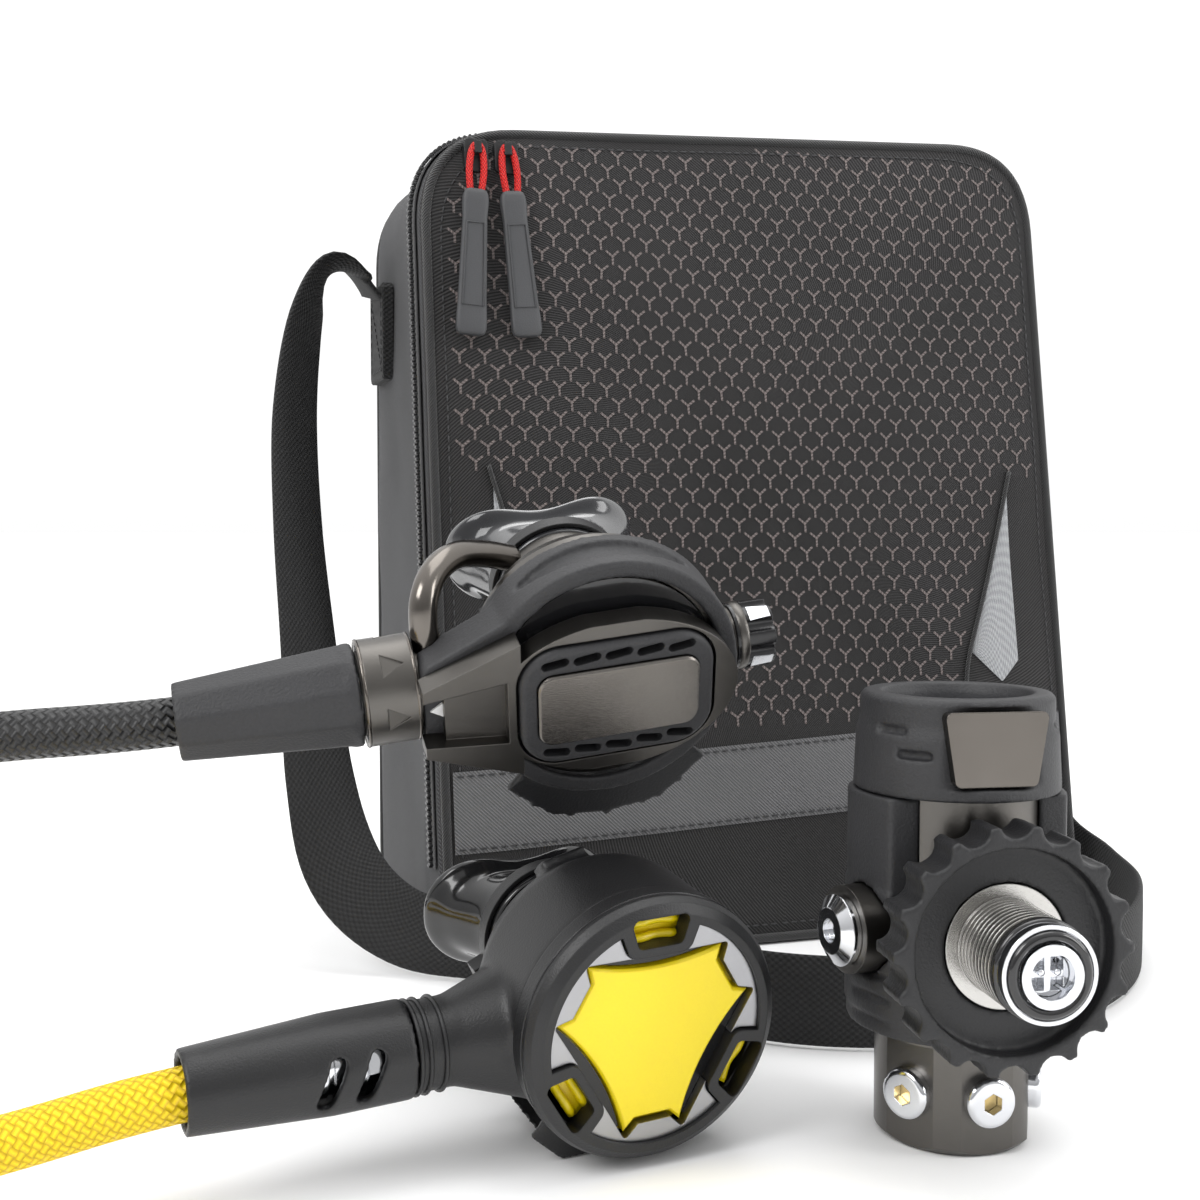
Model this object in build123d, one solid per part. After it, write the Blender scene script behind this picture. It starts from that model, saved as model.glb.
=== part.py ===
"""Scuba regulator set: a first stage, two second stages with their hoses, and the carry bag they go in.

Each item is modelled in its own frame and then placed on one floor. Millimetres, +Z up.
A second stage's frame has its origin at the middle of its front, +x towards the side away from the hose,
+y up its face and +z out of its face. The first stage's frame stands on the floor under its own axis.
"""
from build123d import *
import os
from math import atan2, cos, degrees, pi, radians, sin, tan

OUT = "parts"

# ---- where the items stand, on a floor grid that is moved to the middle of the set at the end
SET_X = 39.23
SET_Y = 510.29
FIRST_STAGE_X = 88.4
FIRST_STAGE_Y = 370.0
DIN_TURN = 9.0
PRIMARY_AT = (5.0, 366.0, 107.5)
PRIMARY_RIGHT = (0.96, 0.25, 0.135)
PRIMARY_OUT = (0.275, -0.85, -0.454)
OCTOPUS_AT = (12.0, 345.0, 33.6)
OCTOPUS_RIGHT = (0.89, 0.42, 0.045)
OCTOPUS_OUT = (0.425, -0.893, -0.14)
BAG_AT = (67.2, 537.6, 0.0)
BAG_TURN = 17.5

# ---- hoses
HOSE_D = 12.0
HOSE_FLOOR_Z = 6.3
COIL_R = {"primary": 60.0, "octopus": 72.0}
COIL_LAYER = 12.2
TAIL = {"primary": 54.0, "octopus": 110.0}
TAIL_ANGLE = {"primary": 190, "octopus": 240}
JOIN_ANGLE = {"primary": 240, "octopus": 282}
END_LIFT = 2.4
SPIGOT_R = 4.75
COIL_AT = {"primary": (-318.0, 492.0), "octopus": (-238.0, 318.0)}

# ---- first stage
TURRET_R = 19.4
TURRET_H = 26.0
PORT_ANGLES = [-56, 4, 64, 124, 184]
PORT_Z = 13.5
BODY_R = 20.6
ARMOR_R = 27.0
ARMOR_LOW = 28.5
CAP_LOW = 86.0
STAGE_TOP = 110.0
DIN_Z = 54.0
WHEEL_R = 29.0
WHEEL_SCALLOPS = 18
WHEEL_FRONT = 36.0
WHEEL_BACK = 24.0
THREAD_R = 11.45
PORT_FACE = 31.5
DIN_TIP = 53.0
FIT = 0.05

# ---- second stages
PRIMARY_AXIS = (0.0, -21.0)
OCTOPUS_AXIS = (-4.5, -21.0)
CASE_R = 30.5
WALL = 2.2
NECK_R = 14.6
NECK_END = -62.0
BARREL_R = 5.4

# ---- bag
BAG_W = 250.0
BAG_H = 306.0
BAG_DEEP_LOW = 140.0
BAG_DEEP_TOP = 95.0
LID_LEAN = BAG_DEEP_LOW - BAG_DEEP_TOP
BAG_WALL = 5.0
LID_THICK = 6.0
STRAP_W = 27.0
STRAP_T = 2.2

# ---- helpers


def frame(origin, right, out):
    """The plane whose z points out of a face and whose x is as near to right as it can be."""
    z_dir = Vector(*out).normalized()
    y_dir = z_dir.cross(Vector(*right)).normalized()
    moved = Vector(*origin) - Vector(SET_X, SET_Y, 0)
    return Plane(origin=moved, x_dir=y_dir.cross(z_dir), z_dir=z_dir)


def turned(origin, turn):
    """An upright frame turned about +Z by turn degrees."""
    return frame(origin, (cos(radians(turn)), sin(radians(turn)), 0), (0, 0, 1))


PRIMARY = frame(PRIMARY_AT, PRIMARY_RIGHT, PRIMARY_OUT)
OCTOPUS = frame(OCTOPUS_AT, OCTOPUS_RIGHT, OCTOPUS_OUT)
STAGE = turned((FIRST_STAGE_X, FIRST_STAGE_Y, 0), DIN_TURN)
BAG = turned(BAG_AT, BAG_TURN)


def save(name, place, *solids):
    """Write one node; its solids stay separate."""
    moved = [place.location * s for s in solids]
    shape = moved[0] if len(moved) == 1 else Compound(children=moved)
    export_step(shape, f"{OUT}/{name}.step")
    return shape


def rod(start, end, radius, y=0.0, z=0.0):
    """A cylinder along x from start to end."""
    body = Cylinder(radius, end - start)
    return Pos((start + end) / 2, y, z) * Rot(0, 90, 0) * body


def tube(start, end, outer, inner, y=0.0, z=0.0):
    return rod(start, end, outer, y, z) - rod(start - 1, end + 1, inner, y, z)


def turned_solid(points):
    """A solid of revolution about z from (radius, height) corners."""
    outline = Polyline(*[(r, 0, z) for r, z in points], close=True)
    return revolve(make_face(outline), Axis.Z)


def ring(outer, inner, low, high):
    body = Cylinder(outer, high - low)
    if inner:
        body -= Cylinder(inner, high - low + 2)
    return Pos(0, 0, (low + high) / 2) * body


def slab(width, height, corner, low, high):
    sketch = RectangleRounded(width, height, corner)
    return Pos(0, 0, low) * extrude(sketch, high - low)


def radial(angle, z):
    """A frame on the first stage's axis whose +x points out at angle from the front."""
    return Pos(0, 0, z) * Rot(0, 0, angle - 90)


# ---- first stage


def first_stage():
    turret = Pos(0, 0, TURRET_H / 2) * Cylinder(TURRET_R, TURRET_H)
    turret = chamfer(turret.edges().filter_by(GeomType.CIRCLE).group_by(Axis.Z)[0], 1.5)
    plugs = []
    flat = 18.2
    for angle in PORT_ANGLES:
        at = radial(angle, PORT_Z)
        turret -= at * Pos(flat + 5, 0, 0) * Box(10, 17, 60)
        turret -= at * rod(flat - 8, flat + 2, 4.6)
        head = rod(flat, flat + 3.2, 6.2)
        head = fillet(head.edges().filter_by(GeomType.CIRCLE).sort_by(Axis.X)[-1], 1.4)
        plug = head + rod(flat - 6, flat + 0.1, 4.5)
        socket = extrude(RegularPolygon(2.6, 6), 4)
        plug -= Pos(flat + 3.3, 0, 0) * Rot(0, -90, 0) * socket
        plugs.append(at * plug)
    turret -= Pos(0, 0, TURRET_H - 4) * Cylinder(9.05, 8.01)
    save("turret", STAGE, turret)
    save("lp_port_plugs", STAGE, *plugs)

    din = radial(0, DIN_Z)
    port = radial(-78, DIN_Z - 1)
    body = turned_solid([
        (0, TURRET_H - 7.9), (9, TURRET_H - 7.9), (9, TURRET_H + 0.1), (BODY_R, TURRET_H + 0.1),
        (BODY_R, CAP_LOW + 4), (16.5, CAP_LOW + 4), (16.5, 70), (0, 70),
    ])
    body += din * rod(10, WHEEL_BACK - 0.4, 14.0)
    body += port * rod(10, PORT_FACE, 10.6)
    body -= din * rod(3, 40, 8.55)
    body -= port * rod(16, 40, 6.05)
    body -= Pos(0, 0, 62) * Cylinder(3.2, 20)
    save("first_stage_body", STAGE, body)

    armor = ring(ARMOR_R - 0.5, BODY_R + 0.1, ARMOR_LOW, CAP_LOW - 0.2)
    armor = armor + Pos(0, 0, 48) * (Cylinder(ARMOR_R, 30) - Cylinder(BODY_R + 0.1, 32))
    window = Pos(0, -BODY_R - 5, 76) * Box(44, 22, 60)
    armor -= window
    armor -= Pos(0, -33.3, 50) * Box(60, 20, 80)
    armor -= din * rod(0, 60, 17.5)
    armor -= port * rod(0, 60, 10.8)
    for side in (-1, 1):
        for step in range(3):
            armor -= radial(side * 72, 31.5 + 5.5 * step) * Pos(ARMOR_R, 0, 0) * Box(3.2, 15, 2.0)
    save("rubber_armor", STAGE, armor)

    cap = turned_solid([
        (BODY_R + 0.1, CAP_LOW), (25.2, CAP_LOW), (24.6, 100), (23.6, 103.5), (23.6, STAGE_TOP - 1.2),
        (22.4, STAGE_TOP), (18.4, STAGE_TOP), (17.2, STAGE_TOP - 2.5), (17.2, CAP_LOW + 4.1),
        (BODY_R + 0.1, CAP_LOW + 4.1),
    ])
    for angle, height in ((-62, 102), (-46, 96.5), (62, 102)):
        cap -= radial(angle, height) * Pos(24.4, 0, 0) * Box(3.4, 9, 2.2)
    badge_space = Pos(0, -24.0, 98.6) * Box(27.0, 5, 19.0)
    cap -= badge_space
    save("top_cap", STAGE, cap)
    badge = Polyline((-12.8, 107.4), (12.8, 107.4), (10.0, 89.8), (-10.0, 89.8), close=True)
    badge = extrude(Plane.XZ * make_face(badge), 3.0)
    badge = Pos(0, -21.7, 0) * badge
    save("badge_plate", STAGE, fillet(badge.edges().filter_by(Axis.Y), 1.6))

    screw = ring(16.4, 4.0, 95, 103) + Pos(0, 0, 96.5) * Cylinder(6, 3)
    screw = fillet(screw.edges().filter_by(GeomType.CIRCLE).sort_by(Axis.Z)[-2:], 1.0)
    save("adjusting_screw", STAGE, screw)
    wire = Helix(pitch=4.4, height=17.6, radius=11)
    coil = sweep(Plane(wire @ 0, z_dir=wire % 0) * Circle(1.5), path=wire)
    save("main_spring", STAGE, Pos(0, 0, 75.6) * coil)
    save("main_diaphragm", STAGE, Pos(0, 0, 71.2) * Cylinder(16.4, 1.8))
    save("seat_poppet", STAGE, Pos(0, 0, 62.5) * Cylinder(3.1, 14.6))

    cup = rod(21.0, 27.4, 6.0)
    dome = Pos(27.6, 0, 0) * Rot(0, 90, 0) * Pos(0, 0, 1.0) * Cylinder(8.6, 2)
    dome += Pos(29.6, 0, 0) * Rot(0, 90, 0) * Pos(0, 0, 1.0) * Cone(8.6, 5.6, 2)
    plug = cup + dome + rod(27.3, 27.7, 6.0)
    plug -= rod(30.2, 34, 2.8)
    save("pressure_port_plug", STAGE, port * Pos(PORT_FACE - 27.5, 0, 0) * plug)

    # The yokeless inlet: a fixed nozzle, and a threaded sleeve that turns on it with the hand wheel.
    nozzle = tube(9, 50.0, 8.5, 5.0) + tube(49.4, DIN_TIP, 11.0, 5.0)
    groove = rod(DIN_TIP - 1.6, DIN_TIP + 1, 10.0) - rod(DIN_TIP - 1.6, DIN_TIP + 1, 7.2)
    nozzle -= groove
    nozzle += tube(DIN_TIP - 1.7, DIN_TIP + 1.4, 7.1, 5.0)
    save("inlet_nozzle", STAGE, din * nozzle)
    seal = Rot(0, 90, 0) * Torus(8.55, 1.25)
    save("inlet_face_seal", STAGE, din * Pos(DIN_TIP - 0.3, 0, 0) * seal)
    core = rod(36, DIN_TIP - 1.5, 4.9)
    for quarter in range(4):
        core -= Rot(90 * quarter, 0, 0) * Pos(DIN_TIP - 2, 2.2, 2.2) * Box(6, 2.9, 2.9)
    save("inlet_valve_core", STAGE, din * core)

    sleeve = tube(WHEEL_BACK, 49.0, THREAD_R, 8.5 + FIT)
    sleeve += tube(WHEEL_BACK + 4.5, WHEEL_BACK + 6.5, 14.6, THREAD_R - 0.5)
    for turn in range(10):
        at = 31.0 + 1.75 * turn
        sleeve -= rod(at, at + 0.8, THREAD_R + 1) - rod(at - 0.1, at + 0.9, THREAD_R - 0.55)
    save("din_thread_sleeve", STAGE, din * sleeve)
    wheel = rod(WHEEL_BACK, WHEEL_FRONT, WHEEL_R)
    for scallop in range(WHEEL_SCALLOPS):
        at = Rot(360 / WHEEL_SCALLOPS * scallop, 0, 0)
        wheel -= at * rod(WHEEL_BACK - 1, WHEEL_FRONT + 1, 4.0, 0, WHEEL_R + 1.0)
    wheel -= rod(WHEEL_BACK + 7.0, WHEEL_FRONT + 1, WHEEL_R - 5.2)
    wheel -= rod(WHEEL_BACK - 1, WHEEL_BACK + 9, THREAD_R)
    wheel -= rod(WHEEL_BACK + 4.5, WHEEL_BACK + 9, 15.0)
    save("hand_wheel", STAGE, din * wheel)


# ---- pieces that both second stages have


def oval(a, b, z):
    return Pos(0, 0, z) * Ellipse(a, b)


def mouthpiece():
    """A round cuff over the neck that widens into a lip shield with two bite tabs."""
    low = NECK_END + 4.5
    rims = [oval(17.6, 17.6, low), oval(18.0, 17.0, low - 8), oval(23, 14, low - 17), oval(28, 16, low - 21.5)]
    outer = loft(rims, ruled=True)
    inner = ring(NECK_R + 0.2, 0, NECK_END - 0.6, low + 1)
    inner += loft([oval(NECK_R - 0.6, NECK_R - 0.6, NECK_END - 0.5), oval(13, 6.5, low - 22)])
    body = outer - inner
    for side in (-1, 1):
        body += Pos(side * 17.5, 0, low - 25) * Box(6, 13, 8)
        body += Pos(side * 17.5, 0, low - 29) * Box(11, 13, 2.4)
    return body


def tie():
    band = ring(19.2, 18.1, NECK_END - 1.0, NECK_END + 3.2)
    return band + Rot(0, 0, 205) * Pos(21.0, 0, NECK_END + 1.1) * Box(4.2, 6.4, 5.6)


def bore_axis(axis):
    return Pos(0, axis[0], axis[1])


def valve_barrel(start, end):
    barrel = tube(start, end, BARREL_R, 3.6)
    for side in (-1, 1):
        ear = Pos(8, side * 2.9, BARREL_R + 0.4) * Box(3, 1.2, 3.2)
        barrel += ear - Pos(8, side * 2.9, BARREL_R + 1.0) * Rot(90, 0, 0) * Cylinder(0.75, 3)
    return barrel


def poppet():
    stem = rod(-14, 6, 1.6) + rod(-18, -14, 3.2)
    return stem + rod(4, 6, 3.2)


def lever():
    """A strip on a cross pin, seen in the barrel's frame: the pin is over the barrel at x = 8."""
    pin = Pos(8, 0, BARREL_R + 1.0) * Rot(90, 0, 0) * Cylinder(0.7, 7.4)
    arm = Pos(1.0, 0, BARREL_R + 1.7) * Rot(0, 4, 0) * Box(15, 3.2, 0.8)
    return pin + arm + Pos(8, 0, BARREL_R + 1.3) * Box(1.6, 3.2, 1.6)


def case_shell(radius, front, axis, inlet_end, knob_end):
    """A round can that narrows to the neck, with an inlet boss, a knob boss and an outlet slot below."""
    inner = radius - WALL
    shell = turned_solid([
        (0, front), (radius, front), (radius, -31), (radius - 4, -39), (19.5, -45), (NECK_R, -50),
        (NECK_R, NECK_END), (0, NECK_END),
    ])
    at = bore_axis(axis)
    shell += at * rod(inlet_end, -16, 10.5)
    if knob_end:
        shell += at * rod(16, knob_end, 8.4)
    shell -= turned_solid([
        (0, 20), (inner, 20), (inner, -30), (inner - 3.4, -38), (18, -43.4), (NECK_R - WALL, -49),
        (NECK_R - WALL, NECK_END - 1), (0, NECK_END - 1),
    ])
    shell -= at * rod(inlet_end - 1, 60, BARREL_R)
    shell -= Pos(0, -radius, -25) * Box(26, 12, 14)
    return shell


def diaphragm(radius, z):
    membrane = Pos(0, 0, z) * Cylinder(radius, 1.0)
    return membrane + Pos(0, 0, z + 0.7) * Cylinder(radius * 0.45, 0.6)


def duct(half, case_radius, low, front, back):
    """The exhaust duct: a crescent under the case, tapered to both sides, with a hollow for the air."""
    outer = Polyline(
        (-half, low + 13), (-half * 0.55, low + 2), (0, low), (half * 0.55, low + 2), (half, low + 13),
        (half * 0.7, low + 22), (-half * 0.7, low + 22), close=True,
    )
    block = Pos(0, 0, back) * extrude(make_face(outer), front - back)
    hollow = Polyline(
        (-half - 2, low + 11), (-half * 0.5, low + 4.5), (0, low + 2.5), (half * 0.5, low + 4.5),
        (half + 2, low + 11), (half * 0.7, low + 25), (-half * 0.7, low + 25), close=True,
    )
    block -= Pos(0, 0, back + 2) * extrude(make_face(hollow), front - back - 4)
    return block - Pos(0, 0, -30) * Cylinder(case_radius + 0.05, 80)


def hose_fitting(axis, face, hose_face):
    """A swivel nut and crimped ferrule; its spigot turns in the inlet boss."""
    spigot = rod(face, face + 9, BARREL_R - FIT) - rod(face - 20, face + 12, 3.0)
    nut = extrude(RegularPolygon(8.6, 6), 11)
    nut = Pos(face - 11.2, 0, 0) * Rot(0, 90, 0) * nut
    nut -= rod(face - 20, face + 12, 3.0)
    ferrule = tube(hose_face, face - 11.2, 7.4, 3.0)
    for groove in range(3):
        at = hose_face + 3 + 4 * groove
        ferrule -= rod(at, at + 1.4, 8.4) - rod(at - 0.1, at + 1.5, 6.9)
    return bore_axis(axis) * (spigot + nut + ferrule + tube(face - 0.3, face, 5.6, 3.0))


# ---- primary second stage

P_INLET = -61.0
P_HOSE_FACE = -90.0
P_SLEEVE_END = -105.0
BYPASS_R = 3.7


def primary_stage():
    place = PRIMARY
    at = bore_axis(PRIMARY_AXIS)
    shell = case_shell(CASE_R, -13.0, PRIMARY_AXIS, P_INLET, 31.0)
    save("primary_case", place, shell)

    bumper = ring(34.0, CASE_R + 0.05, -24, -10)
    bumper += ring(34.0, 29.5, -12.9, -9.0)
    bumper -= Pos(0, 28.5, -17) * Rot(90, 0, 0) * extrude(Ellipse(22, 3.4), 20, both=True) & Pos(
        0, 0, -17) * (Cylinder(40, 8) - Cylinder(32.4, 9))
    arm = make_face(Polyline((-47, 11.2), (-24, 22.5), (-24, -22.5), (-47, -11.2), close=True))
    arm = Pos(0, 0, -20) * extrude(arm, 11.0) - Pos(0, 0, -15) * Cylinder(CASE_R + 0.05, 20)
    bumper += fillet(arm.edges().group_by(Axis.X)[0].filter_by(Axis.Z), 3)
    bumper -= at * rod(-60, -20, 10.6)
    bumper -= at * rod(16, 60, 8.6)
    bumper -= Pos(0, -34, -20) * Box(56, 20, 18)
    path = FilletPolyline((-43.4, 9, -21), (-43.4, 23, -25), (-37, 27, -40), (-11, 12.5, -55), radius=[6, 9])
    bumper -= sweep(Plane(path @ 0, z_dir=path % 0) * Circle(BYPASS_R + 0.05), path=path)
    save("primary_bumper", place, bumper)

    rim = Ellipse(31.5, 21.5) & Rectangle(63, 42)
    fork = make_face(Polyline((-48, 9.6), (-24, 19), (-24, -19), (-48, -9.6), close=True))
    notch = make_face(Polyline((-50, 6.2), (-27.5, 8.8), (-27.5, -8.8), (-50, -6.2), close=True))
    opening = RectangleRounded(51.0, 34.6, 11)
    bezel = extrude(rim + fork - notch - opening, 6.5)
    bezel = Pos(0, 0, -8.9) * bezel
    bezel += Pos(0, 0, -8.9) * extrude(notch - Pos(2, 0) * opening - Pos(-47, 0) * Rectangle(9, 30), 3.0)
    bezel -= at * rod(-80, -30, 10.6)
    save("primary_bezel", place, bezel)

    cover = slab(49.4, 33.0, 10, -7.5, -1.0)
    cover = fillet(cover.edges().group_by(Axis.Z)[-1], 1.6)
    cover -= slab(41.4, 20.4, 4.2, -2.0, 0)
    for side in (-1, 1):
        for step in range(5):
            slot = extrude(SlotOverall(7.0, 2.4, rotation=side * 8), 12)
            cover -= Pos(-16 + 8 * step, side * (13.4 - 0.25 * abs(step - 2)), -9) * slot
    cover -= slab(40, 22, 5, -8, -3.5)
    cover += Pos(0, 0, -5.6) * Cylinder(4, 4.8)
    save("primary_purge_cover", place, cover)
    plate = slab(41.0, 20.0, 4, -2.0, 0.2)
    save("primary_purge_plate", place, chamfer(plate.edges().group_by(Axis.Z)[-1], 0.5))
    save("primary_diaphragm", place, diaphragm(CASE_R - WALL - 0.2, -12.2))

    save("primary_valve_barrel", place, at * valve_barrel(-51.5, 30.5))
    save("primary_poppet", place, at * poppet())
    save("primary_lever", place, at * lever())
    save("primary_mouthpiece", place, mouthpiece())
    save("primary_mouthpiece_tie", place, tie())
    save("primary_neck_collar", place, ring(17.5, NECK_R + 0.05, NECK_END + 4.7, -51.0))

    tee = duct(27, CASE_R + 3.6, -43, -11, -40)
    for x in (-20, -10, 0, 10, 20):
        y = -43 + 0.135 * abs(x) + max(0, abs(x) - 14.85) * 0.77
        tee += Pos(x, y + 0.6, -25.5) * Box(1.6, 3.2, 28.9)
    tee -= Pos(0, 0, -30) * Cylinder(CASE_R + 3.6, 80)
    save("primary_exhaust_tee", place, tee)

    # The bypass tube leaves the inlet boss, arches over the case's shoulder and enters the neck.
    arch = sweep(Plane(path @ 0, z_dir=path % 0) * Circle(BYPASS_R), path=path)
    arch -= ring(17.55, 0, -60, -51)
    arch -= ring(18.4, 0, -70, -57.3)
    arch = (arch - shell - at * rod(-60, -30, 10.55)).solids().sort_by(SortBy.VOLUME)[-1]
    save("primary_bypass_tube", place, arch)

    knob = tube(31.2, 35.5, 7.0, 2.6) + rod(35.4, 46, 8.8)
    for flute in range(8):
        knob -= Rot(45 * flute, 0, 0) * rod(37.5, 47, 1.9, 0, 9.4)
    knob += rod(31.2 - 8, 36, BARREL_R - 2.0)
    save("primary_adjust_knob", place, at * knob)
    selector = tube(P_INLET + 0.4, -47.6, 13.4, 10.5 + FIT)
    selector = chamfer(selector.edges().filter_by(GeomType.CIRCLE).group_by(Axis.X)[0], 0.6)
    for mark in range(6):
        triangle = extrude(RegularPolygon(3.6, 3), 1.0)
        selector -= Rot(60 * mark, 0, 0) * Pos(-54, 0, 12.9) * triangle
    save("primary_selector_ring", place, at * selector)

    sleeve = loft([
        Pos(P_SLEEVE_END, 0, 0) * Rot(0, 90, 0) * RegularPolygon(9.9, 10),
        Pos(-64, 0, 0) * Rot(0, 90, 0) * RegularPolygon(13.2, 10),
    ])
    sleeve += rod(-64.1, P_INLET - 0.6, 12.9)
    sleeve -= rod(-92, P_INLET, 8.9)
    sleeve -= rod(P_SLEEVE_END - 1, -90, HOSE_D / 2 + 0.2)
    save("primary_hose_sleeve", place, at * sleeve)
    save("primary_hose_fitting", place, hose_fitting(PRIMARY_AXIS, P_INLET, P_HOSE_FACE))


# ---- spare second stage (octopus)

O_INLET = -53.0
O_HOSE_FACE = -84.0
O_SLEEVE_END = -104.0
O_CASE_R = 31.8


def three(shape):
    return [Rot(0, 0, 120 * k) * shape for k in range(3)]


def star_outline(waist):
    """A three-armed star with forked tips; its long sides curve in to waist from the middle."""
    points = []
    for arm in range(3):
        middle = 90 + 60 + 120 * arm
        for turn, radius in ((-17, 25.4), (-12, 21.9), (12, 21.9), (17, 25.4)):
            angle = radians(middle + turn)
            points.append((radius * cos(angle), radius * sin(angle)))
    edges = []
    count = len(points)
    for k in range(count):
        start, end = points[k], points[(k + 1) % count]
        if k % 4 == 3:
            angle = radians(90 + 120 * (k // 4) + 120)
            edges.append(ThreePointArc(start, (waist * cos(angle), waist * sin(angle)), end))
        else:
            edges.append(Line(start, end))
    return make_face(edges)


def octopus_stage():
    place = OCTOPUS
    at = bore_axis(OCTOPUS_AXIS)
    shell = case_shell(O_CASE_R, -6.0, OCTOPUS_AXIS, O_INLET, 0)
    flare = at * Pos(-34, 0, 0) * Rot(0, 90, 0) * Cone(10.5, 17, 18)
    flare = flare & (Pos(0, 0, -30) * Cylinder(60, 46))
    shell += flare - Pos(0, 0, -20) * Cylinder(O_CASE_R - 0.5, 60)
    shell -= at * rod(O_INLET - 1, 60, BARREL_R)
    shell += Pos(-5, 24, -38) * Rot(-40, 0, 12) * Box(13, 11, 7) - Pos(0, 0, -35) * Cylinder(20, 60)
    save("octopus_case", place, shell)

    face = Circle(32.4) - Circle(27.2)
    lobe = make_face(Polyline((-10.8, 28.0), (-7.6, 19.6), (7.6, 19.6), (10.8, 28.0), close=True))
    lobe = fillet(lobe.vertices().group_by(Axis.Y)[0], 3)
    window = make_face(Polyline((-7.8, 28.8), (-5.6, 21.6), (5.6, 21.6), (7.8, 28.8), close=True))
    window = fillet(window.vertices(), 1.6)
    for part in three(lobe):
        face += part
    for part in three(window):
        face -= part
    cover = Pos(0, 0, -1.0) * extrude(face, 5.0)
    cover += ring(32.4, 28.8, -5.9, -0.9)
    cover &= turned_solid([(0, -6), (32.4, -6), (32.4, 0.4), (31.4, 2.4), (29.2, 4.0), (0, 4.0)])
    save("octopus_cover_ring", place, cover)

    plate = Circle(27.1)
    for part in three(lobe):
        plate -= offset(part, 0.4)
    plate -= offset(star_outline(18.4), 0.9)
    star = star_outline(16.0)
    plate = Pos(0, 0, 0.2) * extrude(plate, 2.6)
    save("octopus_face_plate", place, plate)

    button = Pos(0, 0, -2.6) * extrude(star, 4.4)
    button = chamfer(button.edges().group_by(Axis.Z)[-1], 0.6)
    button += Pos(0, 0, -3.6) * Cylinder(26.6, 2.0)
    button += Pos(0, 0, -6.0) * Cylinder(4, 3.0)
    save("octopus_purge_star", place, button)
    save("octopus_diaphragm", place, diaphragm(O_CASE_R - WALL - 0.2, -11.6))

    save("octopus_valve_barrel", place, at * valve_barrel(-43.5, 27.5))
    save("octopus_poppet", place, at * poppet())
    save("octopus_lever", place, at * lever())
    save("octopus_mouthpiece", place, mouthpiece())
    save("octopus_mouthpiece_tie", place, tie())
    wing = duct(26, O_CASE_R + 0.3, -40.5, -9, -44)
    wing = place.location * wing - Pos(0, 0, -50) * Box(900, 900, 100)
    save("octopus_exhaust_wing", Plane.XY, wing)

    taper = Pos((O_SLEEVE_END - 72) / 2, 0, 0) * Rot(0, 90, 0) * Cone(9.4, 11.4, -72 - O_SLEEVE_END)
    sleeve = taper + rod(-72, O_INLET - 0.4, 11.4)
    sleeve -= rod(-86, O_INLET, 8.9)
    sleeve -= rod(O_SLEEVE_END - 1, -84, HOSE_D / 2 + 0.2)
    sleeve -= rod(O_SLEEVE_END - 1, O_SLEEVE_END + 6, 7.6)
    for turn in (0, 180):
        for x in (-73, -64):
            window = extrude(SlotOverall(12.5, 3.8, rotation=68), 12)
            sleeve -= Pos(x, 0, 0) * Rot(turn, 0, 0) * Pos(0, 0, 4) * window
    save("octopus_hose_sleeve", place, at * sleeve)
    save("octopus_hose_fitting", place, hose_fitting(OCTOPUS_AXIS, O_INLET, O_HOSE_FACE))


# ---- hoses


def sleeve_run(place, axis, face, sleeve_end):
    """The two points of a hose's straight start: in its ferrule, and just out of its sleeve."""
    return [Vector(*(place.location * Pos(x, *axis)).position) for x in (face, sleeve_end - 5)]


def hose_tube(name, points):
    """Straight runs joined by arcs as large as the runs allow."""
    runs = [(b - a).length for a, b in zip(points, points[1:])]
    radii = []
    for k in range(1, len(points) - 1):
        turn = (points[k] - points[k - 1]).get_angle(points[k + 1] - points[k])
        radii.append(0.45 * min(runs[k - 1], runs[k]) / tan(radians(turn / 2)))
    print(name, "radii", [round(r) for r in radii], "runs", [round(r) for r in runs])
    path = FilletPolyline(*points, radius=radii)
    body = sweep(Plane(path @ 0, z_dir=path % 0) * Circle(HOSE_D / 2), path=path)
    print(name, "volume over section times length", round(body.volume / (pi * 36 * path.length), 4))
    print(name, "length", round(path.length, 1))
    return body


def coil_ring(name):
    """The room that the wound part of a hose takes up."""
    at = COIL_AT[name]
    low = HOSE_FLOOR_Z - HOSE_D / 2 - 0.2
    high = HOSE_FLOOR_Z + COIL_LAYER + HOSE_D / 2 + 0.2
    body = ring(COIL_R[name] + 6.2, COIL_R[name] - 6.2, low, high)
    return Pos(at[0] - SET_X, at[1] - SET_Y, 0) * body


def hose_end():
    """The low-pressure end: ferrule, hexagon and threaded spigot, along x from the hose's cut face."""
    end = rod(0, 17, 7.4) + Pos(17, 0, 0) * Rot(0, 90, 0) * extrude(RegularPolygon(8.2, 6), 7)
    for groove in range(3):
        at = 3 + 4 * groove
        end -= rod(at, at + 1.4, 8.4) - rod(at - 0.1, at + 1.5, 6.9)
    return end + rod(24, 33, SPIGOT_R) + rod(23.9, 25, 6.2) - rod(-1, 40, 2.4)


ROUTE = {
    "primary": [(-152, 350, 100.5), (-196, 349.5, 92), (-238, 355, 72.5), (-277, 369, 47.5), (-313, 395, 27)],
    "octopus": [(-124, 307, 21.5), (-152, 293, 18.8), (-187, 270, 18.5)],
}


def joining(name, angle):
    """Where a hose touches its coil, which runs clockwise, and which way it heads there."""
    x, y = COIL_AT[name]
    c, s = cos(radians(angle)), sin(radians(angle))
    return (x + COIL_R[name] * c, y + COIL_R[name] * s), (s, -c)


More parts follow.
